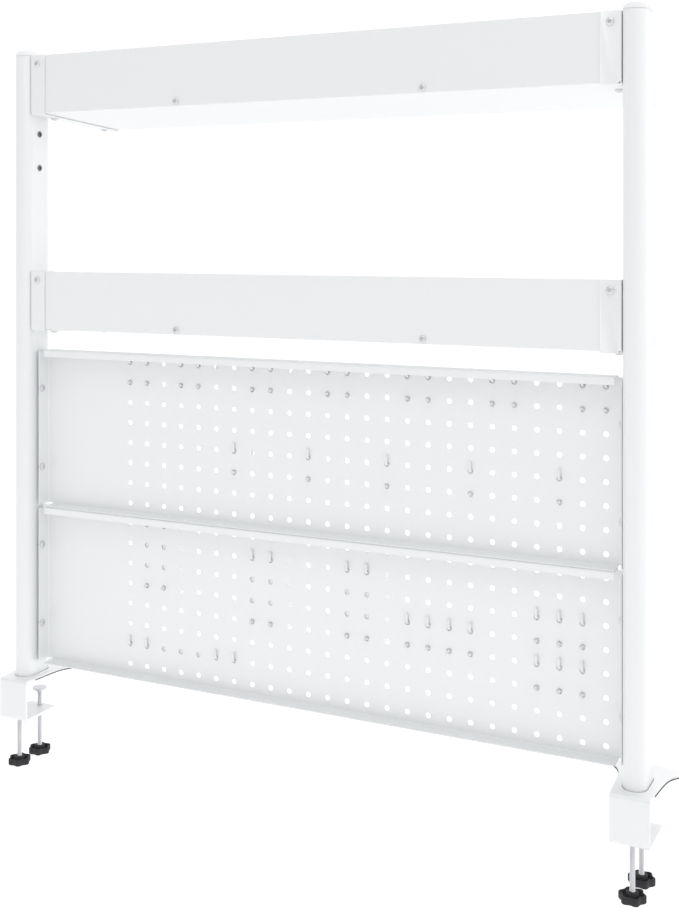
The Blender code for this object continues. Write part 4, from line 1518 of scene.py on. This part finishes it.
@dataclass
class Studio:
    """The camera, the pale floor and the soft lights."""

    eye: Vector = field(default_factory=lambda: Vector((-0.71768, 1.31649, 0.56780)))
    heading: float = 206.2575
    lens: float = 51.75
    shift: float = -0.23726
    floor_height: float = -0.72
    floor_size: float = 30.0
    ambient: float = 0.935
    swing: float = 0.3
    bright_side: tuple[float, float, float] = (-0.3, -0.94, 0.35)
    floor_glow: float = 0.18
    high_lamp: tuple[float, float, float] = (-0.5, 1.3, 2.4)
    high_size: float = 1.2
    high_power: float = 6.0
    low_lamp: tuple[float, float, float] = (-0.4, -0.6, -0.6)
    low_size: float = 1.6
    low_power: float = 1.5

    def camera(self) -> None:
        """A level camera behind the wall, near its right-hand post."""
        data = bpy.data.cameras.new("camera")
        data.lens = self.lens
        data.shift_y = self.shift
        data.clip_end = 60.0
        made = bpy.data.objects.new("camera", data)
        made.location = self.eye
        made.rotation_euler = (math.pi / 2, 0, math.radians(self.heading))
        bpy.context.scene.collection.objects.link(made)
        bpy.context.scene.camera = made

    def floor(self) -> None:
        """A wide pale floor well under the desk's height."""
        half = self.floor_size / 2
        mesh = bpy.data.meshes.new("floor")
        corners = [(-half, -half), (half, -half), (half, half), (-half, half)]
        mesh.from_pydata([(x, y, self.floor_height) for x, y in corners], [], [(0, 1, 2, 3)])
        look = bpy.data.materials.new("pale_floor")
        look.use_nodes = True
        shader = look.node_tree.nodes["Principled BSDF"]
        shader.inputs["Base Color"].default_value = (0.95, 0.95, 0.95, 1)
        shader.inputs["Roughness"].default_value = 0.9
        shader.inputs["Emission Color"].default_value = (1, 1, 1, 1)
        shader.inputs["Emission Strength"].default_value = self.floor_glow
        mesh.materials.append(look)
        made = bpy.data.objects.new("floor", mesh)
        bpy.context.scene.collection.objects.link(made)

    def soft_box(self, name: str, place: Vector, size: float, power: float) -> None:
        """A large square lamp that faces the middle of the wall."""
        data = bpy.data.lights.new(name, "AREA")
        data.size = size
        data.energy = power
        made = bpy.data.objects.new(name, data)
        made.location = place
        made.rotation_euler = (Vector((0, 0, 0.4)) - place).to_track_quat("-Z", "Y").to_euler()
        made.visible_camera = False
        bpy.context.scene.collection.objects.link(made)

    def surround(self) -> None:
        """A white room, brighter on the far side, overhead and towards the right-hand post."""
        world = bpy.data.worlds.new("studio")
        world.use_nodes = True
        graph = Graph(world.node_tree)
        looking = graph.add("ShaderNodeTexCoord").outputs["Generated"]
        toward = graph.add("ShaderNodeVectorMath", {0: looking, 1: self.bright_side}, operation="DOT_PRODUCT")
        swing = graph.maths("MULTIPLY", toward.outputs["Value"], self.swing)
        strength = graph.maths("ADD", swing, self.ambient)
        graph.feed(world.node_tree.nodes["Background"].inputs["Strength"], strength)
        world.node_tree.nodes["Background"].inputs["Color"].default_value = (1, 1, 1, 1)
        bpy.context.scene.world = world

    def build(self) -> None:
        """Sets up the whole studio."""
        self.camera()
        self.floor()
        self.surround()
        bpy.context.scene.view_settings.view_transform = "Standard"
        self.soft_box("high_light", Vector(self.high_lamp), self.high_size, self.high_power)
        self.soft_box("low_light", Vector(self.low_lamp), self.low_size, self.low_power)


def main() -> None:
    """Builds every sub-assembly in order."""
    logging.basicConfig(level=logging.INFO, format="%(name)s %(message)s")
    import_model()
    Studio().build()
    Pegboard().place()
    Posts().place()
    for level in ("middle", "top"):
        Shelf(level).place()
    for side in Side:
        Clamp(side).place()
    Holders().place()


if __name__ == "__main__":
    main()
